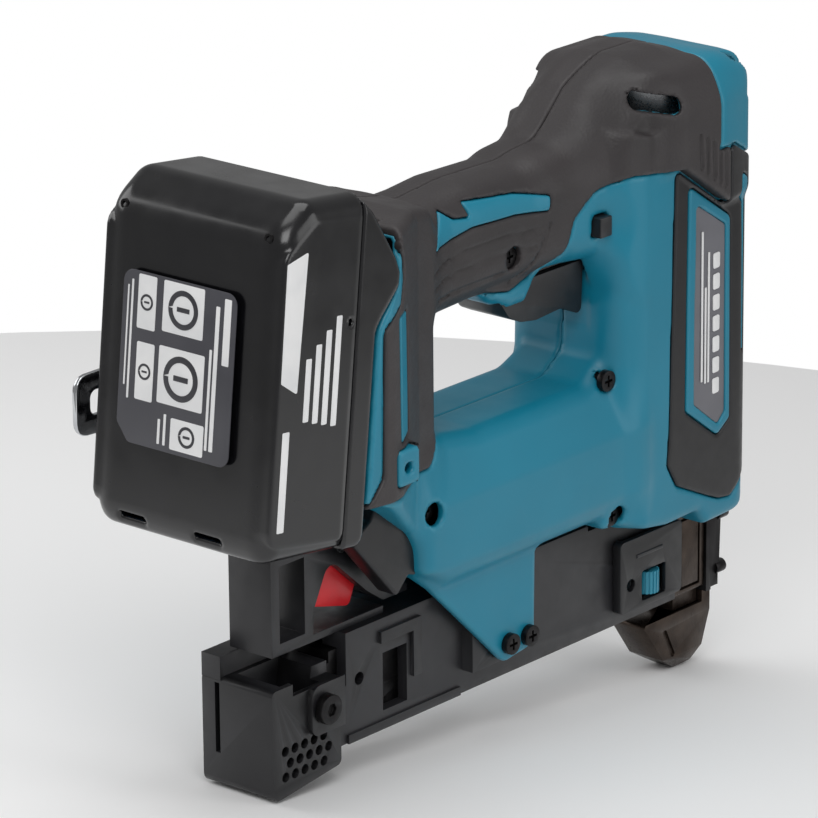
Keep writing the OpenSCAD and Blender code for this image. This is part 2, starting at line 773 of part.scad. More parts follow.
// Magazine: fixed body, sliding rail with its cap, brads and pusher
module magazine_body() {
    color(black) difference() {
        union() {
            box(-190, -14.2, -12, 12, rail_z + 2, 68);
            box(-128, -62, -12, 12, 67, 69.9);
            box(-128, -99, -16.5, 16.5, 38, 68);
            // raised rib on each side wall
            for (s = [-1, 1]) {
                box(-170, -150, s > 0 ? 11.9 : -13.4, s > 0 ? 13.4 : -11.9, 60, 64);
                box(-154, -150, s > 0 ? 11.9 : -13.4, s > 0 ? 13.4 : -11.9, 44, 61);
                box(-186, -130, s > 0 ? 11.9 : -13, s > 0 ? 13 : -11.9, 30, 33);
            }
            box(-33.5, -27.5, -13.5, -11.9, 34.6, 37);
        }
        box(-200, -10, -8, 8, 20, 62.2);
        box(-200, -10, -2, 2, 20, 65.8);
        box(-38, -23, -20, -7.9, 36.8, 47.2);
        box(-210, -186, -20, 20, 50, 80);
        box(-168, -156, -20, 20, 36, 56);
        for (x = [-114, -104]) rod_y(x, -20, 20, 45.4, 1.9);
        rod_y(-179.6, -30, 30, 50.7, 2.2);
    }
    color(black) rod_z(-30.5, -12.4, 36, 47.3, 1.1);
}
module magazine_rail() {
    color("#2a2b2e") difference() {
        union() {
            box(-189.6, -14.4, -7.7, 7.7, rail_z, 61.8);
            box(-192, -189.5, -7.7, 7.7, rail_z, 58);
        }
        // brad and pusher channel
        box(-186, -10, -1.6, 1.6, rail_z + 1.6, 70);
        box(-186, -10, -5, 5, 52, 58);
        for (x = [-170 : 22 : -40]) rod_y(x, -10, 10, 40, 4);
    }
}
module magazine_cap() {
    color(black) difference() {
        union() {
            side(soft([[-225, 22, 3], [-192.1, 26, 2], [-192.1, 60], [-225, 60, 2]]), -15, 15);
            box(-225, -192.1, 7, 15, 59, 67);
            // knob bolt lug
            side(soft([[-208, 40, 3], [-192.1, 40], [-192.1, 57], [-208, 57, 4]]), -17, -14.9);
        }
        // pocket behind the right wall
        side(soft([[-219, 32, 2], [-204, 32, 2], [-199, 62], [-219, 62]]), -13, 5);
        box(-215, -192, -16, -9, 56, 70);
        // lattice of round holes
        for (i = [0 : 4], j = [0 : 2]) rod_y(-219 + 4.6 * i + 2.3 * (j % 2), -20, -12.9,
            29.5 + 4.4 * j, 1.7);
        rod_y(-202, -30, -6, 48.6, 2.2);
        // slot in the rear wall
        box(-230, -217, 7.5, 9.5, 34, 58);
    }
}
module bolt_knob(x, z, y0) {
    difference() {
        union() {
            rod_y(x, y0, y0 + 9, z, 2.2);
            rod_y(x, y0 - 3, y0, z, 5);
        }
        translate([x, y0 - 1.6, z]) rotate([90, 0, 0]) cylinder(h = 3, r = 2.2, $fn = 6);
    }
}
module cap_bolts() {
    color("#303034") bolt_knob(-202, 48.6, -17.1);
}
module brad_stick() {
    color("#b4a06a") union() {
        for (i = [0 : brad_count - 1]) box(-2.1 - 1.28 * i, -0.95 - 1.28 * i, -0.6, 0.6,
            29.7, 29.7 + brad_len - 1.1);
        box(-0.95 - 1.28 * brad_count, -0.96, -0.5, 0.5, 31.4, 29.7 + brad_len - 2);
        box(-0.95 - 1.28 * brad_count, -0.96, -1.1, 1.1, 29.6 + brad_len - 1.2, 29.6 + brad_len);
    }
}
module pusher() {
    xp = -1.4 - 1.28 * brad_count;
    color("#3a3a3e") difference() {
        union() {
            box(xp - 26, xp, -1.3, 1.3, 29.9, 64);
            box(xp - 24, xp - 2, -4.7, 4.7, 52.3, 57.7);
        }
        rod_y(xp - 13, -8, 8, 55, 1.4);
    }
}
module pusher_spring() {
    xp = -1.4 - 1.28 * brad_count;
    color("#9a9da0") for (s = [-1, 1]) difference() {
        rod_y(xp - 30, s > 0 ? 1.9 : -4.7, s > 0 ? 4.7 : -1.9, 55, 2.6);
        rod_y(xp - 30, -6, 6, 55, 1.6);
    }
    color("#9a9da0") box(xp - 31, xp - 26.05, -4.6, 4.6, 56.9, 57.5);
}

// Rear bracket between the battery mount and the magazine, with the red latch
module rear_bracket() {
    color(black) difference() {
        union() {
            side(soft([[-218, 68.1], [-198, 68.1], [-198, 78, 4], [-190, 94, 4], [-172, 78, 4],
                [-164, 72.5], [-152, 72.5], [-152, 74.6], [-164, 83, 3], [-183, 112, 3],
                [-204, 106, 3], [-218, 103, 4]]), -9, 9);
        }
        box(-214, -202, -20, 20, 72, 98);
        side([[-201, 60], [-168, 60], [-168, 86], [-177, 104], [-191, 104], [-201, 97]], -5.2, 5.2);
        rod_y(-184, -12, 12, 96, 1.5);
    }
    color(black) box(-218, -164, -9, 9, 68.1, 70.6);
}
module latch_lever() {
    color(red) difference() {
        side(soft([[-195, 78, 2], [-176, 73, 2], [-173, 80, 2], [-178, 92, 3], [-181, 99, 2],
            [-187, 99, 2], [-195, 90, 3]]), -4.8, 4.8);
        rod_y(-184, -12, 12, 96, 1.5 + run);
        box(-180, -170, -2, 2, 70, 84);
    }
}
module latch_pin() {
    color("#9da0a3") rod_y(-184, -9.4, 9.4, 96, 1.5);
}

// Sprung-steel belt hook on the left flank
module belt_hook() {
    color("#c3c6c9") difference() {
        intersection() {
            plan([[-174, 37.5], [-192, 37.5], [-203, 43.4], [-250, 43.4], [-250, 45.2],
                [-203.5, 45.2], [-192.5, 39.3], [-174, 39.3]], 100, 180);
            side(soft([[-175, 121, 4], [-192, 121, 6], [-214, 137, 8], [-249.6, 139, 5],
                [-249.6, 159, 5], [-206, 159, 8], [-192, 140, 6], [-175, 137, 4]]), 30, 50);
        }
        rod_y(-183, 30, 45, 129, 2.1);
        side(soft([[-243, 145, 2.5], [-212, 144, 3], [-208, 153, 3], [-243, 153, 2.5]]), 40, 50);
    }
}
module hook_screw() {
    color("#303034") difference() {
        union() {
            rod_y(-183, 28, 39.3, 129, 1.95);
            rod_y(-183, 39.3, 41.6, 129, 4);
        }
        box(-184, -182, 41, 43, 126, 132);
    }
}

// Battery pack, drawn in its own frame
case_out = [[0, -55, 3], [2, -57, 3], [pack_case, -57], [pack_case, 57], [12, 57, 5],
    [0, 49, 5]];
case_plan = [[0, -35, 5], [5, -37.5, 3], [pack_case, -37.5], [pack_case, 37.5],
    [5, 37.5, 3], [0, 35, 5]];
module case_form(d) {
    intersection() {
        side(form(case_out, d), -50, 50);
        linear_extrude(140, center = true) polygon(form(case_plan, d));
    }
}
module battery_case() {
    color(black) pack() difference() {
        case_form(0);
        case_form(2.2);
        box(pack_case - 3, 60, -35, 35, -54.6, 54.6);
        for (y = [-24, 24]) translate([6, y, 53]) rotate([0, -56, 0])
            cylinder(h = 5, r = 4.2, center = true, $fn = 32);
        for (y = [-9, 0, 9]) translate([6, y, 53]) rotate([0, -56, 0])
            cylinder(h = 4, r = 1.8, center = true, $fn = 24);
        for (y = [-30, 30], z = [-50, 46]) rod_x(-5, 30, y, z, 1.6);
    }
}
cover_out = [[pack_case, -57], [49, -57, 3], [49, 16], [51.6, 19], [51.6, 44, 4],
    [44, 51, 6], [pack_case, 54.5]];
module battery_cover() {
    color(black) pack() difference() {
        union() {
            side(form(cover_out), -37.4, 37.4);
            box(48.9, 55.5, -26, 26, -42, 40);
            box(55.4, 58.6, -30, 30, -42, 40);
            box(58.5, 62, -22, 22, -42, 30);
        }
        side(form(cover_out, 2), -35, 35);
        box(pack_case - 1, 46.9, -35, 35, -54.6, 50);
        box(46, 60.5, -20, 20, -40, 26);
        // terminal slots
        for (y = [-6.2, 3.8]) box(54.6, 64, y, y + 2.4, -43, 8);
        // button pocket
        box(pack_case - 1, 70, -14.3, 14.3, 33.7, 60);
        // long grooves beside the rails
        for (s = [-1, 1]) box(47.4, 49.1, s * 32 - 1, s * 32 + 1, -50, 10);
    }
}
module battery_button() {
    color("#e9e2d0") pack() difference() {
        union() {
            side(soft([[40, 38], [52, 38, 1], [52, 43, 3], [45, 50.4, 3], [40, 52.6, 1]]), -14, 14);
        }
        box(41.5, 44, -11, 11, 39.5, 46);
    }
}
module battery_cells() {
    color("#2f6f9f") pack() for (i = [0 : 4], j = [0 : 1])
        rod_y(12.2 + 18.5 * j, -32.5, 32.5, -42.5 + 18.6 * i, cell_d / 2);
}
module battery_board() {
    color("#1d4d35") pack() {
        box(42.2, 43.8, -30, 30, -38, 30);
        box(43.7, 45.8, 6, 18, -20, 0);
    }
    color("#b08d57") pack() for (y = [-5.6, 4.4]) {
        box(43.7, 54.4, y, y + 1.2, -16, 4);
    }
}
module battery_screws() {
    color("#303034") pack() for (y = [-30, 30], z = [-50, 46]) difference() {
        rod_x(2.4, z < 0 ? 4.8 : 20, y, z, 1.6);
        rod_x(2, 4, y, z, 0.9);
    }
}
module cylinder_node() {
    color("#a4a7ab") cylinder_tube();
}

housing_right();
housing_left();
front_cap();
grip_right();
grip_left();
bumper_right();
bumper_left();
name_plate();
housing_screws();
flange_screws();
trigger();
trigger_spring();
trigger_switch();
lock_button();
terminal_block();
controller_board();
motor_can();
motor_shaft();
cooling_fan();
ring_gear();
planet_gear_1();
planet_gear_2();
planet_gear_3();
planet_carrier();
lifter_shaft();
drive_bearings();
gear_case();
cylinder_node();  // cylinder
pressure_chamber();
piston();
piston_seal();
stop_bumper();
driver_blade();
blade_pin();
nose_frame();
nose_screws();
contact_arm();
contact_foot();
contact_spring();
selector_cover();
depth_wheel();
magazine_body();
magazine_rail();
magazine_cap();
cap_bolts();
brad_stick();
pusher();
pusher_spring();
rear_bracket();
latch_lever();
latch_pin();
belt_hook();
hook_screw();
battery_case();
battery_cover();
battery_cells();
battery_board();
battery_button();
battery_screws();
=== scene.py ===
import math
import time
import bmesh
import bpy
import numpy as np
from mathutils import Matrix


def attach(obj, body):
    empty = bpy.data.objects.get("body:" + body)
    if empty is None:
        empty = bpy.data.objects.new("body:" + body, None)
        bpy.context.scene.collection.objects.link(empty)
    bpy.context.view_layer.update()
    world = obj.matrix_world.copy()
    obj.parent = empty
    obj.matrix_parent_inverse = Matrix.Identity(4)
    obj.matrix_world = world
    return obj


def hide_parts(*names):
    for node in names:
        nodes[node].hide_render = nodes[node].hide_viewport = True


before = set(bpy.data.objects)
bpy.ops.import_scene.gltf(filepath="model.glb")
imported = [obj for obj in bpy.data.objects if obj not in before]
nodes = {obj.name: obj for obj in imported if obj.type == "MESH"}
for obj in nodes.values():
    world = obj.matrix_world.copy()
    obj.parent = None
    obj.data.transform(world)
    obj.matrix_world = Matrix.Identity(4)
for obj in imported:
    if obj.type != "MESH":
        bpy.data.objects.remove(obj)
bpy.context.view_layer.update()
started = time.time()

# Lengths below are millimetres in the part's own frame: +x front, +y left, +z up the driver
packPlace = {"x": -247.0, "z": 171.0, "tilt": math.radians(6.5)}


def say(text):
    print(f"{time.time() - started:6.1f} s  {text}")


# A corner [u, v, r] is replaced by an arc of radius r between the points where it leaves the two sides
def rounded(points, steps=6):
    ring = []
    for k, corner in enumerate(points):
        a, b, c = (np.array(points[(k + s) % len(points)][:2], float) for s in (-1, 0, 1))
        r = corner[2] if len(corner) > 2 else 0
        if r <= 0:
            ring.append(b)
            continue
        u, v = (a - b) / np.linalg.norm(a - b), (c - b) / np.linalg.norm(c - b)
        half = math.acos(max(-1, min(1, u @ v))) / 2
        mid = b + (u + v) / np.linalg.norm(u + v) * r / math.sin(half)
        s, e = b + u * r / math.tan(half) - mid, b + v * r / math.tan(half) - mid
        turn = math.atan2(s[0] * e[1] - s[1] * e[0], s @ e)
        for i in range(steps + 1):
            w = turn * i / steps
            ring.append(mid + [s[0] * math.cos(w) - s[1] * math.sin(w),
                s[0] * math.sin(w) + s[1] * math.cos(w)])
    ring = np.array(ring)
    return ring[np.linalg.norm(ring - np.roll(ring, -1, 0), axis=1) > 1e-6]


# Distance to a closed outline (negative inside) or to open strokes, as a table read by interpolation
def distanceTable(segments, closed, less=0.0, reach=16.0, step=0.5):
    ends = np.array([p for s in segments for p in s], float)
    lo = ends.min(0) - reach
    n = np.ceil((ends.max(0) + reach - lo) / step).astype(int) + 1
    u, v = (lo[0] + step * np.arange(n[0]))[:, None], (lo[1] + step * np.arange(n[1]))[None, :]
    best, inside = np.full(n, 1e9), np.zeros(n, bool)
    for (x0, y0), (x1, y1) in segments:
        ex, ey = x1 - x0, y1 - y0
        t = np.clip(((u - x0) * ex + (v - y0) * ey) / (ex * ex + ey * ey), 0, 1)
        best = np.minimum(best, (u - x0 - t * ex) ** 2 + (v - y0 - t * ey) ** 2)
        if closed and ey:
            inside ^= ((y0 > v) != (y1 > v)) & (u < x0 + (v - y0) * ex / ey)
    table = np.where(inside, -1, 1) * np.sqrt(best) - less

    def at(a, b):
        p = np.clip((a - lo[0]) / step, 0, n[0] - 1.001)
        q = np.clip((b - lo[1]) / step, 0, n[1] - 1.001)
        i, j = p.astype(np.int32), q.astype(np.int32)
        p, q = p - i, q - j
        return (table[i, j] * (1 - p) + table[i + 1, j] * p) * (1 - q) + (table[i,
            j + 1] * (1 - p) + table[i + 1, j + 1] * p) * q
    return at


def outline(points, step=0.5):
    ring = rounded(points)
    return distanceTable(list(zip(ring, np.roll(ring, -1, 0))), True, step=step)


def strokes(lines, width):
    return distanceTable([s for line in lines for s in zip(line[:-1], line[1:])], False, less=width / 2,
        reach=4, step=0.3)


# What is in both a and b, with a round edge of radius r where they meet
def meet(a, b, r=0.0):
    if r <= 0:
        return np.maximum(a, b)
    return np.minimum(np.maximum(a, b), -r) + np.hypot(np.maximum(a + r, 0), np.maximum(b + r, 0))


# What is in a or b, with a hollow fillet of radius r where they join
def join(a, b, r=0.0):
    if r <= 0:
        return np.minimum(a, b)
    return np.maximum(np.minimum(a, b), r) - np.hypot(np.maximum(r - a, 0), np.maximum(r - b, 0))


def slab(v, lo, hi):
    return np.abs(v - (lo + hi) / 2) - (hi - lo) / 2


def block(x, y, z, x0, x1, y0, y1, z0, z1):
    return np.maximum(np.maximum(slab(x, x0, x1), slab(y, y0, y1)), slab(z, z0, z1))


def rod(u, v, h, u0, v0, r, h0, h1):
    return np.maximum(np.hypot(u - u0, v - v0) - r, slab(h, h0, h1))


# The pack's own frame: w its depth from the rear face, u its length; both are turns of x and z
def toPack(x, z):
    c, s = math.cos(packPlace["tilt"]), math.sin(packPlace["tilt"])
    dx, dz = x - packPlace["x"], z - packPlace["z"]
    return dx * c - dz * s, dx * s + dz * c


def fromPack(p):
    c, s = math.cos(packPlace["tilt"]), math.sin(packPlace["tilt"])
    return np.stack([packPlace["x"] + p[:, 0] * c + p[:, 2] * s, p[:, 1],
        packPlace["z"] - p[:, 0] * s + p[:, 2] * c], 1)


def makeMesh(name, verts, faces, smooth=True):
    mesh = bpy.data.meshes.new(name)
    if isinstance(faces, np.ndarray):
        mesh.vertices.add(len(verts))
        mesh.vertices.foreach_set("co", (verts / 1000).astype(np.float32).ravel())
        mesh.loops.add(faces.size)
        mesh.loops.foreach_set("vertex_index", faces.astype(np.int32).ravel())
        mesh.polygons.add(len(faces))
        mesh.polygons.foreach_set("loop_start", np.arange(0, faces.size, 4, dtype=np.int32))
        mesh.update(calc_edges=True)
    else:
        mesh.from_pydata((verts / 1000).tolist(), [], faces)
    mesh.validate()
    if smooth:
        mesh.shade_smooth()
    piece = bpy.data.objects.new(name, mesh)
    bpy.context.scene.collection.objects.link(piece)
    return piece


# The surface where a field is zero: one point per grid cell that it crosses, at the mean of its edge
# crossings, then moved along the field's slope onto the zero set. Crumbs under 80 faces are dropped.
def carve(name, field, lo, hi, step, place=None):
    axes = [np.arange(lo[k] - step, hi[k] + 2 * step, step) for k in range(3)]
    x, y, z = axes[0][:, None, None], axes[1][None, :, None], axes[2][None, None, :]
    f = np.array(np.broadcast_to(field(x, y, z), [len(a) for a in axes]), np.float32)
    for k in range(3):
        for end in (0, -1):
            face = f[(slice(None),) * k + (end,)]
            np.maximum(face, step * 0.3, out=face)
    n = f.shape
    ids, spots, quads = [], [], []
    for axis in range(3):
        a = f[(slice(None),) * axis + (slice(None, -1),)]
        b = f[(slice(None),) * axis + (slice(1, None),)]
        at = np.argwhere((a < 0) != (b < 0))
        va, vb = a[tuple(at.T)], b[tuple(at.T)]
        spot = at.astype(float)
        spot[:, axis] += va / (va - vb)
        o1, o2 = (axis + 1) % 3, (axis + 2) % 3
        ring = []
        for d1, d2 in ((0, 0), (1, 0), (1, 1), (0, 1)):
            c = at.copy()
            c[:, o1] -= d1
            c[:, o2] -= d2
            ring.append((c[:, 0] * n[1] + c[:, 1]) * n[2] + c[:, 2])
        ring = np.stack(ring, 1)
        ids.append(ring.ravel())
        spots.append(np.repeat(spot, 4, axis=0))
        quads.append(np.where((va < 0)[:, None], ring, ring[:, ::-1]))
    ids, spots, quads = np.concatenate(ids), np.concatenate(spots), np.concatenate(quads)
    cells, where = np.unique(ids, return_inverse=True)
    count = np.bincount(where)
    v = np.stack([np.bincount(where, weights=spots[:, k]) / count for k in range(3)], 1)
    v = v * step + [axes[k][0] for k in range(3)]
    quads = np.searchsorted(cells, quads)
    label, before = np.arange(len(v)), None
    while before is None or (label != before).any():
        before, label = label, label.copy()
        low = label[quads].min(1)
        for k in range(4):
            np.minimum.at(label, quads[:, k], low)
            np.minimum.at(label, before[quads[:, k]], low)
        for _ in range(4):
            label = label[label]
    size = np.bincount(label[quads[:, 0]], minlength=len(v))
    quads = quads[size[label[quads[:, 0]]] > 80]
    used, quads = np.unique(quads, return_inverse=True)
    quads, v = quads.reshape(-1, 4), v[used]
    h = 0.2 * step
    for _ in range(2):
        base = field(v[:, 0], v[:, 1], v[:, 2])
        slope = np.stack([field(v[:, 0] + h * (k == 0), v[:, 1] + h * (k == 1),
            v[:, 2] + h * (k == 2)) - base for k in range(3)], 1) / h
        move = -base / np.maximum((slope ** 2).sum(1), 0.25)
        v = v + slope * np.clip(move, -0.5 * step, 0.5 * step)[:, None]
    piece = makeMesh(name, v if place is None else place(v), quads)
    say(f"{name}: {2 * len(quads)} triangles")
    return piece


# A flat plate with rounded rims: the outline, inset and raised along a quarter circle at each rim, by place
def plate(name, points, h0, h1, rim, place, steps=6):
    ring = rounded(points, steps)
    area = (ring[:, 0] * np.roll(ring[:, 1], -1) - ring[:, 1] * np.roll(ring[:, 0], -1)).sum() / 2
    if area < 0:
        ring = ring[::-1]
    ahead, behind = np.roll(ring, -1, 0) - ring, ring - np.roll(ring, 1, 0)
    n1 = np.stack([-ahead[:, 1], ahead[:, 0]], 1) / np.linalg.norm(ahead, axis=1)[:, None]
    n2 = np.stack([-behind[:, 1], behind[:, 0]], 1) / np.linalg.norm(behind, axis=1)[:, None]
    inward = (n1 + n2) / np.maximum(1 + (n1 * n2).sum(1), 0.4)[:, None]
    turn = np.linspace(0, math.pi / 2, 4)
    insets = np.concatenate([rim * (1 - np.sin(turn)), rim * (1 - np.sin(turn[::-1]))])
    heights = np.concatenate([h0 + rim * (1 - np.cos(turn)), h1 - rim * (1 - np.cos(turn[::-1]))])
    grid = ring[None] + inward[None] * insets[:, None, None]
    rows, m = len(insets), len(ring)
    spots = np.concatenate([grid, np.broadcast_to(heights[:, None, None], (rows, m, 1))], 2).reshape(-1, 3)
    i, j = np.meshgrid(np.arange(rows - 1), np.arange(m), indexing="ij")
    quads = np.stack([i * m + j, i * m + (j + 1) % m, (i + 1) * m + (j + 1) % m, (i + 1) * m + j],
        -1).reshape(-1, 4)
    faces = quads.tolist() + [list(range(m))[::-1], list(range((rows - 1) * m, rows * m))]
    verts = place(spots)
    piece = makeMesh(name, verts, faces, smooth=False)
    a, b, c = place(np.array([[0, 0, 0], [1, 0, 0], [0, 1, 0.0]]))
    d = place(np.array([[0, 0, 1.0]]))[0]
    if np.cross(b - a, c - a) @ (d - a) < 0:
        piece.data.flip_normals()
    piece.data.shade_smooth()
    piece.data.set_sharp_from_angle(angle=math.radians(50))
    return piece


# Several meshes joined into one piece
def loose(parts, name):
    bpy.ops.object.select_all(action="DESELECT")
    for p in parts:
        p.select_set(True)
    bpy.context.view_layer.objects.active = parts[0]
    bpy.ops.object.join()
    parts[0].name = parts[0].data.name = name
    return parts[0]


def box4(u0, u1, v0, v1, r):
    return [[u0, v0, r], [u1, v0, r], [u1, v1, r], [u0, v1, r]]


def onRight(p):
    return np.stack([p[:, 0], -p[:, 2], p[:, 1]], 1)


def onLeft(p):
    return np.stack([p[:, 0], p[:, 2], p[:, 1]], 1)


# On the slanted flank of the column, h above the rating plate's face
def onPlate(p):
    return np.stack([p[:, 0], -(25.3 + (8 - p[:, 0]) * 3 / 57 + p[:, 2]), p[:, 1]], 1)


def onPackRear(p):
    return fromPack(np.stack([-p[:, 2], p[:, 0], p[:, 1]], 1))


def onPackSide(p):
    return fromPack(np.stack([p[:, 0], -p[:, 2], p[:, 1]], 1))


# A CAD node's shape with its loose triangles merged and its edges broken by a small bevel
def reworked(node, bevel, name):
    piece = bpy.data.objects.new(name, nodes[node].data.copy())
    bpy.context.scene.collection.objects.link(piece)
    piece.data.materials.clear()
    b = bmesh.new()
    b.from_mesh(piece.data)
    bmesh.ops.remove_doubles(b, verts=b.verts, dist=2e-6)
    bmesh.ops.dissolve_limit(b, angle_limit=math.radians(1.0), verts=b.verts, edges=b.edges,
        delimit={"NORMAL"})
    b.to_mesh(piece.data)
    b.free()
    piece.data.shade_smooth()
    edge = piece.modifiers.new("edge", "BEVEL")
    edge.width = bevel / 1000
    edge.segments = 2
    edge.limit_method = "ANGLE"
    edge.angle_limit = math.radians(32)
    edge.harden_normals = True
    return piece


# An sRGB hex colour as linear light
def linear(text):
    c = [int(text[k:k + 2], 16) / 255 for k in (1, 3, 5)]
    return tuple(v / 12.92 if v < 0.04045 else ((v + 0.055) / 1.055) ** 2.4 for v in c) + (1,)


# Adds a node, sets its properties and input values, and links what feeds it
def put(tree, kind, values=None, feeds=None, **settings):
    node = tree.nodes.new("ShaderNode" + kind)
    for key, value in settings.items():
        setattr(node, key, value)
    for key, value in (values or {}).items():
        node.inputs[key].default_value = value
    for key, value in (feeds or {}).items():
        tree.links.new(value, node.inputs[key])
    return node


# A material on coordinates in millimetres, whose colour drifts between two tones from edges lo to hi
def begun(name, look, lo, hi):
    m = bpy.data.materials.new(name)
    m.use_nodes = True
    t = m.node_tree
    place = put(t, "TexCoord").outputs["Object"]
    mm = put(t, "Mapping", {"Scale": (1000, 1000, 1000)}, {"Vector": place}).outputs["Vector"]
    broad = put(t, "TexNoise", {"Scale": 1 / look["driftMm"], "Detail": 3.0}, {"Vector": mm}).outputs["Fac"]
    ramp = put(t, "ValToRGB", feeds={"Fac": broad})
    for stop, at, tone in zip(ramp.color_ramp.elements, (lo, hi), ("dark", "base")):
        stop.position, stop.color = at, linear(look[tone])
    return m, t, t.nodes["Principled BSDF"], mm, ramp.outputs["Color"]


# Roughness that follows a pattern, and a bump of a real height in millimetres
def surfaced(t, shader, look, glossPattern, grain):
    rough, spread = look["rough"], look["roughSpread"]
    gloss = put(t, "MapRange", {"From Min": 0.3, "From Max": 0.7, "To Min": rough - spread,
        "To Max": rough + spread}, {"Value": glossPattern})
    bump = put(t, "Bump", {"Strength": look["bump"], "Distance": look["bumpMm"] / 1000}, {"Height": grain})
    t.links.new(gloss.outputs["Result"], shader.inputs["Roughness"])
    t.links.new(bump.outputs["Normal"], shader.inputs["Normal"])


# Moulded plastic and rubber: broad tone drift, mould texture in the bump, uneven gloss, pale rubbed edges
def moulded(name, look):
    m, t, shader, mm, tone = begun(name, look, 0.32, 0.62)
    edges = put(t, "NewGeometry").outputs["Pointiness"]
    worn = put(t, "MapRange", {"From Min": 0.515, "From Max": 0.6, "To Max": look["wear"]},
        {"Value": edges})
    edge = put(t, "MixRGB", {"Color2": linear(look["edge"])},
        {"Fac": worn.outputs["Result"], "Color1": tone})
    t.links.new(edge.outputs["Color"], shader.inputs["Base Color"])
    patch = put(t, "TexNoise", {"Scale": 1 / look["patchMm"], "Detail": 4.0}, {"Vector": mm}).outputs["Fac"]
    if look.get("pebble"):  # leathery pebbles of the mould's etched texture
        pebbles = {"Scale": 1 / look["grainMm"], "Randomness": 1.0, "Smoothness": 0.6}
        grain = put(t, "TexVoronoi", pebbles, {"Vector": mm}, feature="SMOOTH_F1").outputs["Distance"]
    else:
        grain = put(t, "TexNoise", {"Scale": 1 / look["grainMm"], "Detail": 2.0},
            {"Vector": mm}).outputs["Fac"]
    surfaced(t, shader, look, patch, grain)
    shader.inputs["IOR"].default_value = look["ior"]
    shader.inputs["Coat Weight"].default_value = look.get("coat", 0.0)
    shader.inputs["Coat Roughness"].default_value = look.get("coatRough", 0.1)
    return m


# Metal: a tone drift, fine scratches along one direction, and uneven gloss
def metal(name, look):
    m, t, shader, mm, tone = begun(name, look, 0.3, 0.65)
    t.links.new(tone, shader.inputs["Base Color"])
    drawn = put(t, "Mapping", {"Scale": look["stretch"]}, {"Vector": mm}).outputs["Vector"]
    lines = put(t, "TexNoise", {"Scale": 1 / look["grainMm"], "Detail": 3.0},
        {"Vector": drawn}).outputs["Fac"]
    surfaced(t, shader, look, lines, lines)
    shader.inputs["Metallic"].default_value = look["metallic"]
    return m


plasticLooks = {
    # glass-filled nylon, spark-etched mould: even satin teal with a very fine grain
    "teal_shell": {"base": "#0c7e99", "dark": "#0b7791", "edge": "#4aa2b8", "wear": 0.35, "rough": 0.40,
        "roughSpread": 0.05, "driftMm": 60, "patchMm": 9, "grainMm": 0.45, "bump": 0.28, "bumpMm": 0.03,
        "ior": 1.5},
    # TPE rubber moulded over the shell: warm dark grey, leathery pebbles, dull broad highlights
    "grip_rubber": {"base": "#353132", "dark": "#2d2a2b", "edge": "#544f50", "wear": 0.25, "rough": 0.52,
        "roughSpread": 0.07, "driftMm": 45, "patchMm": 7, "grainMm": 1.0, "bump": 0.55, "bumpMm": 0.12,
        "ior": 1.5, "pebble": True},
    # black glass-filled nylon of the magazine and small parts: near black, satin
    "black_plastic": {"base": "#151517", "dark": "#0f0f11", "edge": "#3c3c40", "wear": 0.35, "rough": 0.38,
        "roughSpread": 0.07, "driftMm": 30, "patchMm": 5, "grainMm": 0.5, "bump": 0.25, "bumpMm": 0.03,
        "ior": 1.5},
    # ABS blend of the pack, polished mould: deep black with clear soft reflections and light handling marks
    "gloss_black": {"base": "#0d0d10", "dark": "#09090b", "edge": "#2b2b30", "wear": 0.3, "rough": 0.22,
        "roughSpread": 0.06, "driftMm": 40, "patchMm": 12, "grainMm": 0.7, "bump": 0.12, "bumpMm": 0.02,
        "ior": 1.52, "coat": 0.2, "coatRough": 0.15},
    # bright red acetal latch, slightly waxy
    "red_plastic": {"base": "#e01420", "dark": "#c40f1a", "edge": "#f05a60", "wear": 0.3, "rough": 0.33,
        "roughSpread": 0.05, "driftMm": 12, "patchMm": 3, "grainMm": 0.4, "bump": 0.2, "bumpMm": 0.02,
        "ior": 1.48},
    # cream ABS button, smooth and slightly yellowed
    "cream_plastic": {"base": "#ebe4d4", "dark": "#ded6c2", "edge": "#f6f2ea", "wear": 0.2, "rough": 0.35,
        "roughSpread": 0.05, "driftMm": 14, "patchMm": 4, "grainMm": 0.4, "bump": 0.2, "bumpMm": 0.02,
        "ior": 1.5},
    # printed polyester rating label, matt grey
    "plate_grey": {"base": "#6f6f75", "dark": "#66666c", "edge": "#8c8c92", "wear": 0.2, "rough": 0.42,
        "roughSpread": 0.05, "driftMm": 20, "patchMm": 5, "grainMm": 0.35, "bump": 0.15, "bumpMm": 0.01,
        "ior": 1.5},
    # nitrile seals
    "seal_rubber": {"base": "#1b1b1c", "dark": "#151516", "edge": "#333333", "wear": 0.2, "rough": 0.6,
        "roughSpread": 0.08, "driftMm": 12, "patchMm": 3, "grainMm": 0.5, "bump": 0.3, "bumpMm": 0.03,
        "ior": 1.5},
    # glass-epoxy circuit board under green solder mask
    "board": {"base": "#1f5a3c", "dark": "#184a31", "edge": "#4b8a66", "wear": 0.2, "rough": 0.35,
        "roughSpread": 0.08, "driftMm": 10, "patchMm": 2, "grainMm": 0.6, "bump": 0.3, "bumpMm": 0.03,
        "ior": 1.5},
    # shrink-wrap film on the cells
    "cell_wrap": {"base": "#2f6f9f", "dark": "#28618c", "edge": "#5f97c0", "wear": 0.2, "rough": 0.3,
        "roughSpread": 0.08, "driftMm": 15, "patchMm": 4, "grainMm": 0.8, "bump": 0.2, "bumpMm": 0.03,
        "ior": 1.5},
}
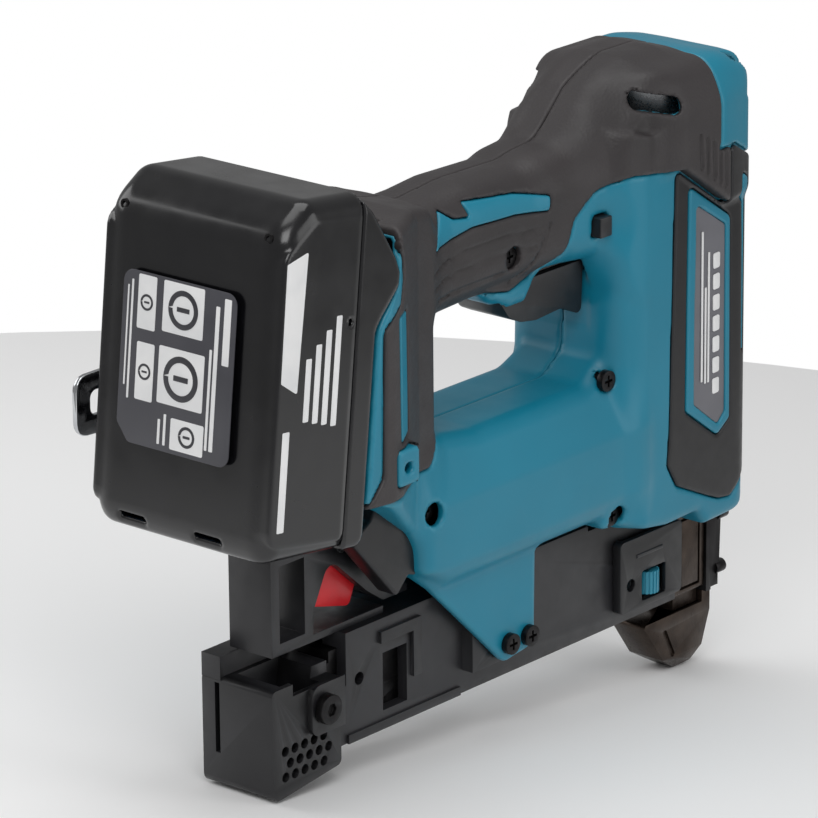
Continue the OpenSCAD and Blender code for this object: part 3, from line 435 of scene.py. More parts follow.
metalLooks = {
    # blackened steel: dark, oily sheen, fine grinding lines
    "dark_steel": {"base": "#2c2b2c", "dark": "#1f1e1f", "metallic": 0.85, "rough": 0.38,
        "roughSpread": 0.1, "driftMm": 8, "grainMm": 0.5, "stretch": (1, 1, 0.15), "bump": 0.25,
        "bumpMm": 0.02},
    # ground spring and tool steel
    "steel": {"base": "#a9abad", "dark": "#8b8d90", "metallic": 1.0, "rough": 0.32, "roughSpread": 0.1,
        "driftMm": 10, "grainMm": 0.4, "stretch": (0.15, 1, 1), "bump": 0.2, "bumpMm": 0.015},
    # nickel-chrome plated strip, bright with soft handling haze
    "chrome_steel": {"base": "#d4d6d8", "dark": "#b9bbbe", "metallic": 1.0, "rough": 0.14,
        "roughSpread": 0.06, "driftMm": 12, "grainMm": 0.6, "stretch": (0.2, 1, 1), "bump": 0.1,
        "bumpMm": 0.01},
    # die-cast aluminium, shot-blasted
    "cast_alloy": {"base": "#a7aaad", "dark": "#8e9194", "metallic": 1.0, "rough": 0.5,
        "roughSpread": 0.08, "driftMm": 12, "grainMm": 0.6, "stretch": (1, 1, 1), "bump": 0.4,
        "bumpMm": 0.04},
    # brass-coated brad wire
    "brad_steel": {"base": "#b4a06a", "dark": "#97865a", "metallic": 1.0, "rough": 0.35,
        "roughSpread": 0.08, "driftMm": 6, "grainMm": 0.3, "stretch": (1, 1, 0.1), "bump": 0.2,
        "bumpMm": 0.01},
}
finishes = {k: moulded(k, v) for k, v in plasticLooks.items()}
finishes.update({k: metal(k, v) for k, v in metalLooks.items()})
# sintered and oil-blacked nose steel with a brown cast
finishes["nose_steel"] = metal("nose_steel", {**metalLooks["dark_steel"], "base": "#4a4039",
    "dark": "#352d28", "rough": 0.34})
# white and dark screen-printed ink on the labels
finishes["white_ink"] = moulded("white_ink", {**plasticLooks["cream_plastic"], "base": "#eeeeee",
    "dark": "#e2e3e4", "edge": "#ffffff"})
finishes["dark_ink"] = moulded("dark_ink", {**plasticLooks["plate_grey"], "base": "#3a3a3f",
    "dark": "#333338", "edge": "#4c4c52"})
# dark grey polyester label of the pack
finishes["pack_label"] = moulded("pack_label", {**plasticLooks["plate_grey"], "base": "#46464c",
    "dark": "#3f3f45", "edge": "#6a6a70"})
say("materials made")


def done(piece, finish, body="housing", replaced=()):
    piece.data.materials.clear()
    piece.data.materials.append(finishes[finish])
    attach(piece, body)
    if replaced:
        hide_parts(*replaced)
    return piece


# The housing's outer form: outlines seen from the side, above and the front, as [u, v, corner radius]
form = {
    "headSide": [[-60, 70, 3], [-36, 66], [-19, 66, 3], [-14, 60, 2], [9, 60, 4], [17.4, 78, 12],
        [17.4, 206, 14], [13.4, 220, 9], [-8, 227.2, 16], [-44, 227.2, 14], [-60, 212, 14]],
    "headPlan": [[-60, -15, 4], [-34, -33, 9], [-12, -33, 12], [8, -25, 12], [17.4, -9, 8], [17.4, 9, 8],
        [8, 25, 12], [-12, 33, 12], [-34, 33, 9], [-60, 15, 4]],
    "columnPlan": [[-60, -21, 6], [-49, -28, 3], [8, -25, 12], [17.4, -9, 8], [17.4, 9, 8], [8, 25, 12],
        [-49, 28, 3], [-60, 21, 6]],
    "headFront": [[-33, 150], [33, 150], [33, 212, 10], [22, 227.6, 9], [-22, 227.6, 9], [-33, 212, 10]],
    "ridgeSide": [[-94, 188], [-90, 201, 6], [-74, 204, 14], [-60, 221, 14], [-42, 227.6, 8],
        [-24, 227.6, 4], [-14, 222], [-14, 188]],
    "handleSide": [[-160, 162, 3], [-112, 164.4, 8], [-66, 164.4], [-56, 150], [-50, 150], [-50, 212],
        [-62, 212, 10], [-76, 202.5, 14], [-124, 203.5, 20], [-160, 200, 3]],
    "lowSide": [[-163, 84, 4], [-150, 75.5, 6], [-50, 75.5], [-50, 150], [-59.5, 150, 2], [-61, 131, 6],
        [-72, 123.5, 8], [-128, 123.5, 8], [-163, 128, 4]],
    "lowFront": [[-22, 72, 4], [22, 72, 4], [27, 84, 3], [27, 106, 3], [19, 126, 8], [19, 152], [-19, 152],
        [-19, 126, 8], [-27, 106, 3], [-27, 84, 3]],
    "mountSide": [[-207, 121, 3], [-190, 117, 4], [-158, 92, 6], [-150, 92], [-150, 203, 6],
        [-168, 207, 8], [-186, 206, 3], [-200, 187, 3]],
    "flangeSide": [[-115.6, 38.8, 4], [-100, 41, 4], [-99, 90, 2], [-163, 92, 2], [-161, 82, 3],
        [-153.5, 75.5, 4], [-127.4, 50.4, 4]],
    "lugSide": [[-70, 73, 3], [-44, 70, 3], [-42, 80, 3], [-69, 86, 3]],
    "collarSide": [[-119, 168], [-113, 161, 3], [-104, 156.5, 3], [-95, 156.5, 3], [-88, 166]],
}
# Outlines on the flanks that part one material from the next
cover = {
    # dark rubber: handle, rear of the head and the flanks of the mount
    "greySide": [[-215, 245], [-215, 119], [-157, 119, 4], [-149.5, 127, 3], [-149.5, 158], [-120, 160],
        [-117, 165.5, 2], [-104.8, 163.4, 4], [-95, 165.6, 6], [-81, 171.6, 4], [-77.4, 182, 5],
        [-69, 190.4, 6], [-55.5, 193.4, 6], [-40, 191.4], [-33.6, 191.4, 1], [-8.6, 174.4, 1],
        [-8.6, 194.2, 1], [-15, 194.2, 1.5], [-15, 245]],
    # teal edge that hugs the pack, the square pad of the belt hook, and teal inlays
    "rimSide": [[-220, 215], [-189, 206.5, 3], [-181, 197.5, 5], [-179.6, 189.5, 4], [-183, 182.5, 4],
        [-193.4, 176.7, 4], [-194.6, 128.3, 6], [-206, 116, 3], [-220, 116]],
    "hookPad": [[-188, 123, 1.5], [-177.5, 123, 1.5], [-177.5, 135.5, 1.5], [-188, 135.5, 1.5]],
    "gripInsert": [[-150.5, 188.2, 0.6], [-140.2, 199.2, 0.8], [-135.6, 195.6, 1.2], [-128.2, 194.6, 0.8],
        [-129.4, 199.6, 0.8], [-105, 197.2, 4], [-89.3, 193.4, 1], [-89.6, 188.2, 1], [-106, 190.4, 8],
        [-128, 191.3, 8]],
    "mountInsert": [[-185.4, 179, 1.2], [-177.4, 179, 1], [-176.6, 150, 1], [-176.8, 138, 1],
        [-184.6, 137, 1]],
    "bumpSide": [[-33.6, 190.8, 1.5], [-8.2, 173.6, 1], [-8.2, 193.4, 2], [-5, 193.8, 2], [20, 181],
        [22, 160], [9, 74, 6], [-1, 67, 3], [-8, 68, 3], [-15, 71, 3], [-32, 79, 3], [-37.5, 88, 3],
        [-36.4, 97, 4]],
    "capSlot": [[-3, 231], [-1, 221, 1], [11.5, 213, 1], [20, 217]],
    "plateFrame": [[-26.6, 183.6, 1.5], [-3, 168, 3], [-2.4, 96, 2], [-9.6, 91.5, 2], [-27.6, 104.5, 2]],
    "plate": [[-22.8, 176.6, 1.5], [-5.6, 165.6, 2], [-5.2, 99, 1.5], [-9.6, 95.4, 1.5], [-23.6, 106, 1.5]],
    "frontInsert": [[1.6, 182.4, 0.8], [6.4, 179.6, 1.2], [6.4, 171], [6.6, 118], [5.4, 118], [5, 157],
        [4.4, 171, 1.5], [1.4, 174, 1]],
    "capSide": [[-15, 245], [-15, 194.6, 1], [-5, 194.4, 2], [20, 181.6], [40, 176], [40, 245]],
    # lines pressed into the handle's thumb pad, then the ribs beside the cap
    "padLines": [[(-151, 181.6), (-140, 183.6), (-128.4, 184.6), (-110, 184.4), (-92.6, 183)],
        [(-150.7, 176.6), (-138, 178.2), (-124.1, 178.9), (-108, 178.8), (-96.6, 177.6)],
        [(-148.3, 171.2), (-130, 172), (-112, 171.9)],
        [(-104.9, 166.8), (-98.2, 170.4), (-93, 176), (-88.8, 184)]],
    "ribs": [[(-26.2, 202), (-25.4, 190.5)], [(-22.6, 200), (-22, 188)], [(-18.8, 198), (-18.4, 185.4)],
        [(-15.3, 195.8), (-15, 183)], [(-12.2, 193.6), (-12, 181)]],
}
# Widths of the grooves that are lines instead of areas
grooveWidth = {"padLines": 1.1, "ribs": 1.5}
shape = {k: outline(v) for k, v in form.items()}
zone = {k: outline(v, 0.3) for k, v in cover.items() if k not in grooveWidth}
zone.update({k: strokes(cover[k], width) for k, width in grooveWidth.items()})
# Half widths of the handle and the battery mount along x
halfWidth = {
    "handleAt": [-165, -152, -138, -92, -76, -62, -50], "handle": [23, 19.2, 17.2, 17.2, 18.4, 22, 26],
    "mountAt": [-208, -190, -184, -178, -170, -163, -150], "mount": [36.6, 36.6, 35, 31.6, 27.4, 23.5, 20],
}
halfGap = 0.1  # each half stops this far from the middle plane
skinGap = 0.18  # half the gap between two materials that meet
wall = {"underSkin": 1.9, "inside": 3.4}  # how deep the shell's face lies under a layer, and its inner face
cylinderBore = 12.7  # the piston runs inside this radius about the driver's axis
# Housing screws: x, z, and the depth in y at which each recess ends
screws = [(-64, 124, -20), (-62, 76, -20), (-158, 104, -19), (-107, 176, -13)]


# Head, column, handle, lower body and mount are outlines met at right angles and joined by fillets
def bodyForm(x, y, z):
    a = np.abs(y)
    side = shape["headSide"](x, z)
    upper = meet(meet(side, shape["headPlan"](x, y), 7), shape["headFront"](y, z), 7)
    under = (191.2 - 0.68 * (np.clip(x, -33.6, -8.6) + 33.6) - z) * 0.85
    upper = meet(upper, under, 2.5)
    column = meet(meet(meet(side, shape["columnPlan"](x, y), 4), a - 27, 2), z - 205)
    ridge = meet(shape["ridgeSide"](x, z), a - 14.5, 8)
    head = join(join(upper, column, 3), ridge, 7)
    handleHalf = np.interp(x, halfWidth["handleAt"], halfWidth["handle"])
    handle = meet(shape["handleSide"](x, z), a - handleHalf, 13)
    handle = join(handle, meet(shape["collarSide"](x, z), a - 13.6, 5), 3)
    low = meet(shape["lowSide"](x, z), shape["lowFront"](y, z), 5)
    mount = meet(shape["mountSide"](x, z), a - np.interp(x, halfWidth["mountAt"], halfWidth["mount"]), 3.5)
    f = join(join(head, low, 8), handle, 9)
    f = join(f, mount, 6)
    f = join(f, meet(shape["flangeSide"](x, z), slab(a, 16.4, 20.2), 1.4), 3)
    f = join(f, meet(shape["lugSide"](x, z), a - 24.4, 2.5), 2)
    f = join(f, meet(slab(x, -188, -177.5), meet(slab(z, 123, 135.5), a - 37.2, 1), 1), 1.5)
    # scoop round the lock button, an ellipsoid
    scoop = (np.sqrt(((x + 65.5) / 9.5) ** 2 + ((a - 29) / 8.5) ** 2 + ((z - 177) / 13) ** 2) - 1) * 8.5
    return meet(f, -scoop, 3)


# What goes through the skin. Blocks are x0, x1, y0, y1, z0, z1, or w, y and u in the pack's frame.
passages = {
    "packStepAt": [9, 12, 16, 25, 29], "packStep": [50, 50.3, 52.3, 59.4, 60],  # the mount's face along u
    "railSlots": [(50, 58.4, -27.4, 27.4, -44, 90), (54.9, 59.4, -31, 31, -44, 90),
        (58, 64, -23, 23, -44, 90)],
    "triggerNoseMagazineLock": [(-108.5, -61, -11.3, 11.3, 140, 171), (-62, 16.2, -13, 13, 50, 74),
        (-150, -62, -13, 13, 60, 77), (-70.4, -61.6, -17.2, 17.2, 172.6, 183.4)],
    "ventAt": (-44, 26, 215.5), "ventTurn": math.radians(33), "ventHalf": (9.5, 3.1), "ventDepth": 9,
    "capSlotAt": (-21.4, 2.0),  # y and half width, on the right only
    "screwHead": 4.0, "screwShank": 2.1,
    "throughHoles": [(-183, 129, 2.0), (-114, 45.4, 2.1), (-104, 45.4, 2.1)],  # x, z, radius
}


def openings(x, y, z):
    a, p = np.abs(y), passages
    w, u = toPack(x, z)
    f = w - np.interp(u, p["packStepAt"], p["packStep"])
    for size in p["railSlots"]:
        f = np.minimum(f, block(w, y, u, *size))
    for size in p["triggerNoseMagazineLock"]:
        f = np.minimum(f, block(x, y, z, *size))
    f = np.minimum(f, meet(slab(x, -69.5, -62.5), slab(z, 174, 182), 1.2))
    # slanted vent of each flank of the head: along it, across it, and up it
    (vx, vy, vz), c, s = p["ventAt"], math.cos(p["ventTurn"]), math.sin(p["ventTurn"])
    along, across = (x - vx) * c + (a - vy) * s, (a - vy) * c - (x - vx) * s
    up = z - vz + 0.22 * along
    vent = meet(np.abs(along) - p["ventHalf"][0], np.abs(up) - p["ventHalf"][1], 3.0)
    f = np.minimum(f, np.maximum(vent, -across - p["ventDepth"]))
    f = np.minimum(f, np.maximum(zone["capSlot"](x, z), np.abs(y - p["capSlotAt"][0]) - p["capSlotAt"][1]))
    for sx, sz, sy in screws:
        f = np.minimum(f, rod(x, z, y, sx, sz, p["screwHead"], -60, sy))
        f = np.minimum(f, rod(x, z, y, sx, sz, p["screwShank"], -60, 60))
    for sx, sz, r in p["throughHoles"]:
        f = np.minimum(f, rod(x, z, y, sx, sz, r, -60, 60))
    return f


# Where the dark rubber lies: its side outline, less the teal edge, the hook's pad and the inlays
def greyZone(x, a, z):
    edge = np.minimum(zone["rimSide"](x, z), zone["hookPad"](x, z))
    f = np.maximum(zone["greySide"](x, z), -np.maximum(edge, 29 - a))
    f = np.maximum(f, -np.maximum(zone["mountInsert"](x, z), 20 - a))
    return np.maximum(f, -np.maximum(zone["gripInsert"](x, z), 6 - a))


# Where the side bumper lies, down to where it turns round the front
def bumpZone(x, a, z):
    return np.maximum(zone["bumpSide"](x, z), 10.5 - a)


# One half of the teal shell: a hollow skin, sunk under whatever covers it, open round the driver's bore
def tealShell(sign):
    def field(x, y, z):
        a, b = np.abs(y), bodyForm(x, y, z)
        outside = -np.minimum(np.minimum(greyZone(x, a, z), bumpZone(x, a, z)), zone["capSide"](x, z))
        inserts = np.minimum(zone["mountInsert"](x, z), np.maximum(zone["gripInsert"](x, z), 6 - a))
        outside = np.maximum(outside, -inserts)
        f = np.minimum(meet(b, outside + skinGap, 0.8), b + wall["underSkin"])
        f = np.maximum(np.maximum(f, -(b + wall["inside"])), -openings(x, y, z))
        f = np.maximum(f, cylinderBore - np.hypot(x, y))
        return np.maximum(f, halfGap - sign * y)
    return field


# A layer over the shell where the mask says, standing proud by so much, with grooves of given depth
def skinLayer(sign, mask, proud, depth, edge, grooves=()):
    def field(x, y, z):
        a, b = np.abs(y), bodyForm(x, y, z)
        f = np.maximum(meet(b - proud, mask(x, a, z) + skinGap, edge), -(b + depth))
        for lines, deep, inner in grooves:
            f = np.maximum(f, -np.maximum(np.maximum(zone[lines](x, z), -(b - proud) - deep), inner - a))
        f = np.maximum(f, -openings(x, y, z))
        return np.maximum(f, halfGap - sign * y) if sign else f
    return field


# Grid steps of the carved pieces, in mm
step = {"shell": 1.15, "skin": 1.0, "small": 0.65}


def inlayMask(zoneName):
    return lambda x, a, z: zone[zoneName](x, z)


def bumperMask(cut):
    return lambda x, a, z: np.maximum(bumpZone(x, a, z), -np.minimum.reduce([zone[k](x, z) for k in cut]))


# Inlay: outline, how proud, edge radius, and the box it lies in as x0, x1, z0, z1
inlays = {
    "grip_inlay": ("gripInsert", 0.5, 0.7, (-152, -87, 186, 202)),
    "mount_inlay": ("mountInsert", 0.5, 0.7, (-188, -174, 134, 181)),
    "bumper_inlay": ("frontInsert", 0.35, 0.5, (0, 8, 116, 184)),
}
grooves = [("padLines", 0.8, 8), ("ribs", 1.3, 22)]
for sign, sideName in ((-1, "right"), (1, "left")):
    y0, y1 = (-38, 1) if sign < 0 else (-1, 38)
    s0, s1 = (-38, -4) if sign < 0 else (4, 38)
    shell = carve(f"shell_{sideName}", tealShell(sign), (-208, y0, 36), (20, y1, 230), step["shell"])
    done(shell, "teal_shell", replaced=[f"housing_{sideName}"])
    rubber = skinLayer(sign, greyZone, 0.7, 2.7, 0.9, grooves)
    rubber = carve(f"overmould_{sideName}", rubber, (-208, y0, 116), (-6, y1, 230), step["skin"])
    done(rubber, "grip_rubber", replaced=[f"grip_{sideName}"])
    bumper = skinLayer(sign, bumperMask(("plateFrame", "frontInsert") if sign < 0 else ("frontInsert",)),
        0.45, 1.7, 0.9)
    bumper = carve(f"side_bumper_{sideName}", bumper, (-39, y0, 64), (19, y1, 196), step["small"] * 1.25)
    done(bumper, "black_plastic", replaced=[f"bumper_{sideName}"])
    for inlay, (outlineName, proud, edge, (x0, x1, z0, z1)) in inlays.items():
        layer = skinLayer(0, inlayMask(outlineName), proud, 1.5, edge)
        done(carve(f"{inlay}_{sideName}", layer, (x0, s0, z0), (x1, s1, z1), step["small"]), "teal_shell")
headCap = skinLayer(0, inlayMask("capSide"), 0.0, 2.4, 0.8)
headCap = carve("head_cap", headCap, (-16, -36, 178), (20, 36, 230), step["skin"])
done(headCap, "teal_shell", replaced=["front_cap"])


# Raised teal frame round the rating plate, and the plate sunk in it
def plateFrame(x, y, z):
    b = bodyForm(x, y, z)
    f = np.maximum(meet(b - 0.9, zone["plateFrame"](x, z) + 0.15, 0.9), -(b + 1.5))
    return np.maximum(f, -np.maximum(zone["plate"](x, z), -(b + 0.6)))


def namePlate(x, y, z):
    b = bodyForm(x, y, z)
    return np.maximum(meet(b - 0.3, zone["plate"](x, z) + 0.12, 0.3), -(b + 1.0))


done(carve("plate_frame", plateFrame, (-29, -30, 90), (-1, -21, 186), step["small"]), "teal_shell")
done(carve("rating_plate", namePlate, (-25, -30, 93), (-4, -21, 179), step["small"] * 0.7), "plate_grey",
    replaced=["name_plate"])
# plain blocks and stripes where a plate has its wording
markRects = [(-12.8, -9.0, 107 + 7.4 * k, 112.4 + 7.4 * k, 0.8) for k in range(7)]
markRects += [(-15.8, -14.9, 112, 158, 0.2), (-17.6, -16.7, 112, 146, 0.2), (-19.6, -18.7, 113, 166, 0.2)]
plateMarks = [plate("p", box4(*size), -0.2, 0.12, 0.03, onPlate) for size in markRects]
done(loose(plateMarks, "plate_marks"), "white_ink")
say("housing made")

# The battery pack, in its own frame: w from the rear face, y, and u along its length
pack = {
    "caseSide": [[0, -52, 7], [5, -57, 6], [60, -57], [60, 57], [14, 57, 8], [0, 46, 9]],
    "casePlan": [[0, -37, 8], [60, -37], [60, 37], [0, 37, 8]],
    "panelSide": [[2.5, -51, 5], [37, -53, 1], [37, 51, 1], [16, 51.5, 9], [2.5, 41, 6]],
    "coverSide": [[20, -57], [49, -57, 4], [49, 12, 4], [51.5, 16, 3], [58.8, 25, 3], [59, 30, 3],
        [56.5, 35, 4], [44, 51, 6], [37, 56.6, 4], [20, 57]],
    "label": [[-21.3, 27, 4], [26, 27, 4], [26, -22, 2], [21, -28, 2], [-21.3, -28, 4]],
    "seam": 38.4, "seamGap": 0.45, "wall": 2.2,
    "bevelHoles": [(24.3, 4.4), (-23.8, 4.4), (12.8, 2.0), (1.3, 2.0), (-11.2, 2.0)],  # y, radius
    "rearHoles": [(30.5, 5.6), (-33, 1.3)],  # y and u of the small holes in the rear face
    "lipNotches": (20, -12),
    # foot and rails of the slide, then what is hollow: inside, contact slots, button, side grooves
    "solids": [(48.9, 55.5, -26, 26, -42, 40), (55.4, 58.6, -30, 30, -42, 40),
        (58.5, 62, -22, 22, -42, 30)],
    "hollows": [(37, 47, -34.8, 34.8, -54.6, 50), (54.6, 64, -6.2, -3.8, -43, 8),
        (54.6, 64, 3.8, 6.2, -43, 8),
        (37, 70, -14.5, 14.5, 33.5, 60), (47.8, 50, -33, -31, -50, 8), (47.8, 50, 31, 33, -50, 8)],
}
packShape = {k: outline(pack[k], 0.4) for k in ("caseSide", "casePlan", "panelSide", "coverSide")}


# Case: side outline met with plan outline, and a raised panel on each flank
def caseForm(w, y, u):
    a = np.abs(y)
    f = meet(packShape["caseSide"](w, u), packShape["casePlan"](w, y), 6.5)
    return join(f, meet(packShape["panelSide"](w, u), a - 37.4, 0.9), 0.6)


# The case hollowed, with recesses along the bevel's own direction and notches under the lower lip
def packCase(w, y, u):
    f = caseForm(w, y, u)
    f = np.maximum(f, -(f + pack["wall"]))
    across, deep = (w - 5.5) * 0.62 + (u - 53) * 0.785, (w - 5.5) * -0.785 + (u - 53) * 0.62
    for cy, r in pack["bevelHoles"]:
        f = np.maximum(f, -np.maximum(np.hypot(across, y - cy) - r, -deep - 1.6))
    for cy, cu in pack["rearHoles"]:
        f = np.maximum(f, -rod(y, u, w, cy, cu, 1.1, -5, 1.4))
    f = np.maximum(f, -rod(w, u, y, 35, 17, 1.1, -40, -36))
    for cy in pack["lipNotches"]:
        f = np.maximum(f, -meet(slab(y, cy - 6, cy + 6), meet(slab(u, -54.5, -51.5), slab(w, -3, 4)), 1.2))
    return np.maximum(f, w - pack["seam"])


# The cover with its slide: blocks added, then blocks taken out
def packCover(w, y, u):
    f = meet(packShape["coverSide"](w, u), np.abs(y) - 36.9, 2.2)
    for size in pack["solids"]:
        f = np.minimum(f, block(w, y, u, *size))
    for size in pack["hollows"]:
        f = np.maximum(f, -block(w, y, u, *size))
    return np.maximum(f, pack["seam"] + pack["seamGap"] - w)


done(carve("pack_case", packCase, (-1, -38, -58), (40, 38, 58), step["skin"] * 0.95, fromPack),
    "gloss_black", "battery", replaced=["battery_case"])
done(carve("pack_cover", packCover, (37, -38, -58), (63, 38, 58), step["skin"] * 0.95, fromPack),
    "gloss_black", "battery", replaced=["battery_cover"])
done(plate("pack_label", pack["label"], -0.2, 0.2, 0.1, onPackRear), "pack_label", "battery")


# The label and the flank: white cells with plain generic marks, and plain stripes in place of any wording
printed = {
    "cells": [(-8, 9, 10, 26.2), (-9.4, 9.6, -12.8, 5.4), (12, 19.6, 9, 26.2), (11.6, 19, -13.6, 4.8),
        (-10.6, 3.2, -26.6, -16.6)],
    "rings": [(0.5, 18, 6.2), (0, -3.8, 7.2), (15.8, 17.6, 2.6), (15.3, -4.4, 2.6), (-3.7, -21.6, 3.4)],
    "ringHole": 0.72, "barLength": 0.42, "barWidth": 0.12,  # as parts of the ring's radius
    "stripes": [(-19.2, -16.4, 4, 25), (-14.6, -13, -24, 22), (-12.2, -11.2, -24, 8), (5.2, 6.2, -26, -16),
        (7.6, 8.6, -26, -18), (21.6, 22.4, -14, 24), (23.4, 24, -10, 22)],
    "flankBlock": [[3.6, 39, 0.6], [13, 42, 0.6], [11.6, -2.6, 0.6], [3.9, 1.7, 0.6]],
    "flankBar": (6, 9.2, -46, -14), "flankHeights": (37.35, 37.47),
}
cells = [plate("c", box4(*size, 0.6), 0.1, 0.32, 0.05, onPackRear) for size in printed["cells"]]
done(loose(cells, "label_cells"), "white_ink", "battery")
around = np.linspace(0, 2 * math.pi, 41)
circle = np.stack([np.cos(around), np.sin(around)], 1)
marks = []
for cx, cy, r in printed["rings"]:
    ring = np.concatenate([circle * r, circle[::-1] * r * printed["ringHole"]]) + [cx, cy]
    marks.append(plate("m", ring.tolist()[:-1], 0.3, 0.42, 0.02, onPackRear))
    half, thick = r * printed["barLength"], r * printed["barWidth"]
    bar = box4(cx - half, cx + half, cy - thick, cy + thick, 0.1)
    marks.append(plate("m", bar, 0.3, 0.42, 0.02, onPackRear))
done(loose(marks, "label_marks"), "dark_ink", "battery")
lines = [plate("s", box4(*size, 0.3), 0.15, 0.3, 0.02, onPackRear) for size in printed["stripes"]]
flank = [printed["flankBlock"], box4(*printed["flankBar"], 0.4)]
for k in range(4):  # four bars, each longer than the one before
    u0, u1, v0, v1 = 15 + 4.4 * k, 17.6 + 4.4 * k, -12 - k, 8 + 4 * k
    flank.append(box4(u0, u1, v0, v1, 0.4))
lines += [plate("s", points, *printed["flankHeights"], 0.02, onPackSide) for points in flank]
done(loose(lines, "pack_print"), "white_ink", "battery")
say("battery made")

# CAD node: the body it rides on, bevel width in mm, finish
mechanical = {
    "trigger": ("trigger", 1.3, "black_plastic"), "lock_button": ("lock", 0.6, "black_plastic"),
    "nose_frame": ("housing", 0.4, "nose_steel"), "contact_arm": ("contact", 0.4, "dark_steel"),
    "contact_foot": ("contact", 0.5, "nose_steel"), "selector_cover": ("housing", 0.35, "black_plastic"),
    "depth_wheel": ("wheel", 0.15, "teal_shell"), "magazine_body": ("housing", 0.4, "black_plastic"),
    "magazine_rail": ("magazine", 0.3, "dark_steel"), "magazine_cap": ("magazine", 0.4, "black_plastic"),
    "cap_bolts": ("magazine", 0.25, "dark_steel"), "rear_bracket": ("housing", 0.5, "black_plastic"),
    "latch_lever": ("latch", 0.5, "red_plastic"), "belt_hook": ("housing", 0.35, "chrome_steel"),
    "hook_screw": ("housing", 0.25, "dark_steel"), "battery_button": ("release", 0.5, "cream_plastic"),
    "housing_screws": ("housing", 0.2, "dark_steel"), "flange_screws": ("housing", 0.2, "dark_steel"),
}
for node, (body, width, finish) in mechanical.items():
    done(reworked(node, width, node + "_piece"), finish, body, [node])
say("mechanical pieces made")

# Slanted struts between the mount and the magazine, 13.5 to 21.6 mm from the middle plane
strut = [[-176, 121, 2], [-166, 115, 2], [-158.5, 108, 2], [-157, 98, 2], [-161, 83, 1.5],
    [-165.5, 84.5, 1.5], [-171.5, 78.5, 1.5], [-193, 102.5, 2], [-184, 108, 2]]
for place, sideName in ((onRight, "right"), (onLeft, "left")):
    done(plate(f"strut_{sideName}", strut, 13.5, 21.6, 1.0, place), "black_plastic")

# CAD nodes that stay as they are take the finish of their slot
kept = {
    "terminal_block": "black_plastic", "trigger_switch": "black_plastic", "controller_board": "board",
    "battery_board": "board", "battery_cells": "cell_wrap", "piston_seal": "seal_rubber",
    "stop_bumper": "seal_rubber", "gear_case": "cast_alloy", "brad_stick": "brad_steel",
    "battery_screws": "dark_steel", "nose_screws": "dark_steel", "motor_can": "dark_steel",
}
for name, obj in nodes.items():
    if not obj.hide_render:
        obj.data.materials.clear()
        obj.data.materials.append(finishes[kept.get(name, "steel")])
say("finishes set on the CAD nodes")

# Floor, light and camera
stageLook = {
    "floorTilt": math.atan2(22.0, 220.0), "floorRadius": 550, "floorX": -110, "floorZ": 10.2,  # mm
    "worldLight": 0.32, "white": 1.0,
}


# A flat disc in the plane through the nose tip and the magazine's foot: radius times a full turn
def floorDisc():
    a = np.linspace(0, 2 * math.pi, 96, endpoint=False)
    r, t = stageLook["floorRadius"], stageLook["floorTilt"]
    x, y = r * np.cos(a), r * np.sin(a)
    verts = np.stack([stageLook["floorX"] + x * math.cos(t), y, stageLook["floorZ"] - x * math.sin(t)], 1)
    return makeMesh("floor", verts, [list(range(96))], smooth=False)


floor = floorDisc()
pale = bpy.data.materials.new("pale_paper")
pale.use_nodes = True
paper = pale.node_tree.nodes["Principled BSDF"]
paper.inputs["Base Color"].default_value = (0.95, 0.95, 0.95, 1)
paper.inputs["Roughness"].default_value = 0.9
floor.data.materials.append(pale)

world = bpy.data.worlds.new("studio")
bpy.context.scene.world = world
world.use_nodes = True
wt = world.node_tree
wt.nodes.clear()
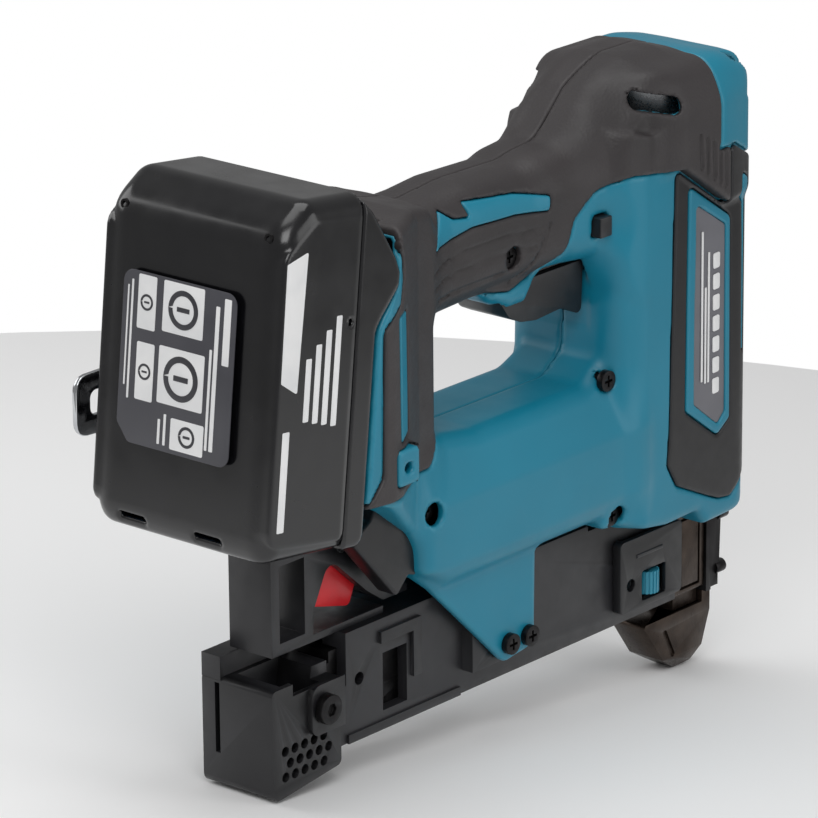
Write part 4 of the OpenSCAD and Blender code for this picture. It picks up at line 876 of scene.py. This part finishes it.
# white where the camera looks past the object, dimmer as a light
rays, mix = wt.nodes.new("ShaderNodeLightPath"), wt.nodes.new("ShaderNodeMixShader")
wt.links.new(rays.outputs["Is Camera Ray"], mix.inputs[0])
for socket, strength in ((1, stageLook["worldLight"]), (2, stageLook["white"])):
    sky = wt.nodes.new("ShaderNodeBackground")
    sky.inputs["Color"].default_value = (1, 1, 1, 1)
    sky.inputs["Strength"].default_value = strength
    wt.links.new(sky.outputs[0], mix.inputs[socket])
wt.links.new(mix.outputs[0], wt.nodes.new("ShaderNodeOutputWorld").inputs[0])

# name: place, point it faces, width, height, watts
lamps = {
    "key": ((-0.75, -0.55, 0.95), (-0.12, 0, 0.12), 0.6, 0.6, 4.6),
    "top": ((-0.05, 0.05, 1.15), (-0.12, 0, 0.1), 0.8, 0.8, 4.2),
    "side": ((0.35, -1.0, 0.35), (-0.1, 0, 0.12), 0.5, 0.9, 2.2),
    "back": ((-0.5, 0.95, 0.6), (-0.12, 0, 0.12), 0.7, 0.7, 3.0),
}


def lookAt(place, target, rightHint=(0, 0, 1)):
    back = np.array(place, float) - np.array(target, float)
    back /= np.linalg.norm(back)
    right = np.cross(rightHint, back)
    right /= np.linalg.norm(right)
    up = np.cross(back, right)
    m = Matrix([[right[i], up[i], back[i], place[i]] for i in range(3)] + [[0, 0, 0, 1]])
    return m


for name, (place, target, wide, high, watts) in lamps.items():
    light = bpy.data.lights.new(name, "AREA")
    light.shape = "RECTANGLE"
    light.size, light.size_y, light.energy = wide, high, watts
    lamp = bpy.data.objects.new(name, light)
    lamp.matrix_world = lookAt(place, target)
    bpy.context.scene.collection.objects.link(lamp)

camera = {"place": (-1.4589, -1.1353, 0.7167), "right": (0.65003, -0.75985, -0.00883),
    "up": (0.24841, 0.20150, 0.94747), "ahead": (0.71816, 0.61808, -0.31973), "lens": 249.1}
cam = bpy.data.cameras.new("camera")
cam.lens, cam.sensor_width, cam.clip_end = camera["lens"], 36, 30
eye = bpy.data.objects.new("camera", cam)
eye.matrix_world = Matrix([[camera["right"][i], camera["up"][i], -camera["ahead"][i], camera["place"][i]]
    for i in range(3)] + [[0, 0, 0, 1]])
bpy.context.scene.collection.objects.link(eye)
bpy.context.scene.camera = eye
bpy.context.scene.view_settings.view_transform = "Standard"
say("floor, light and camera set")
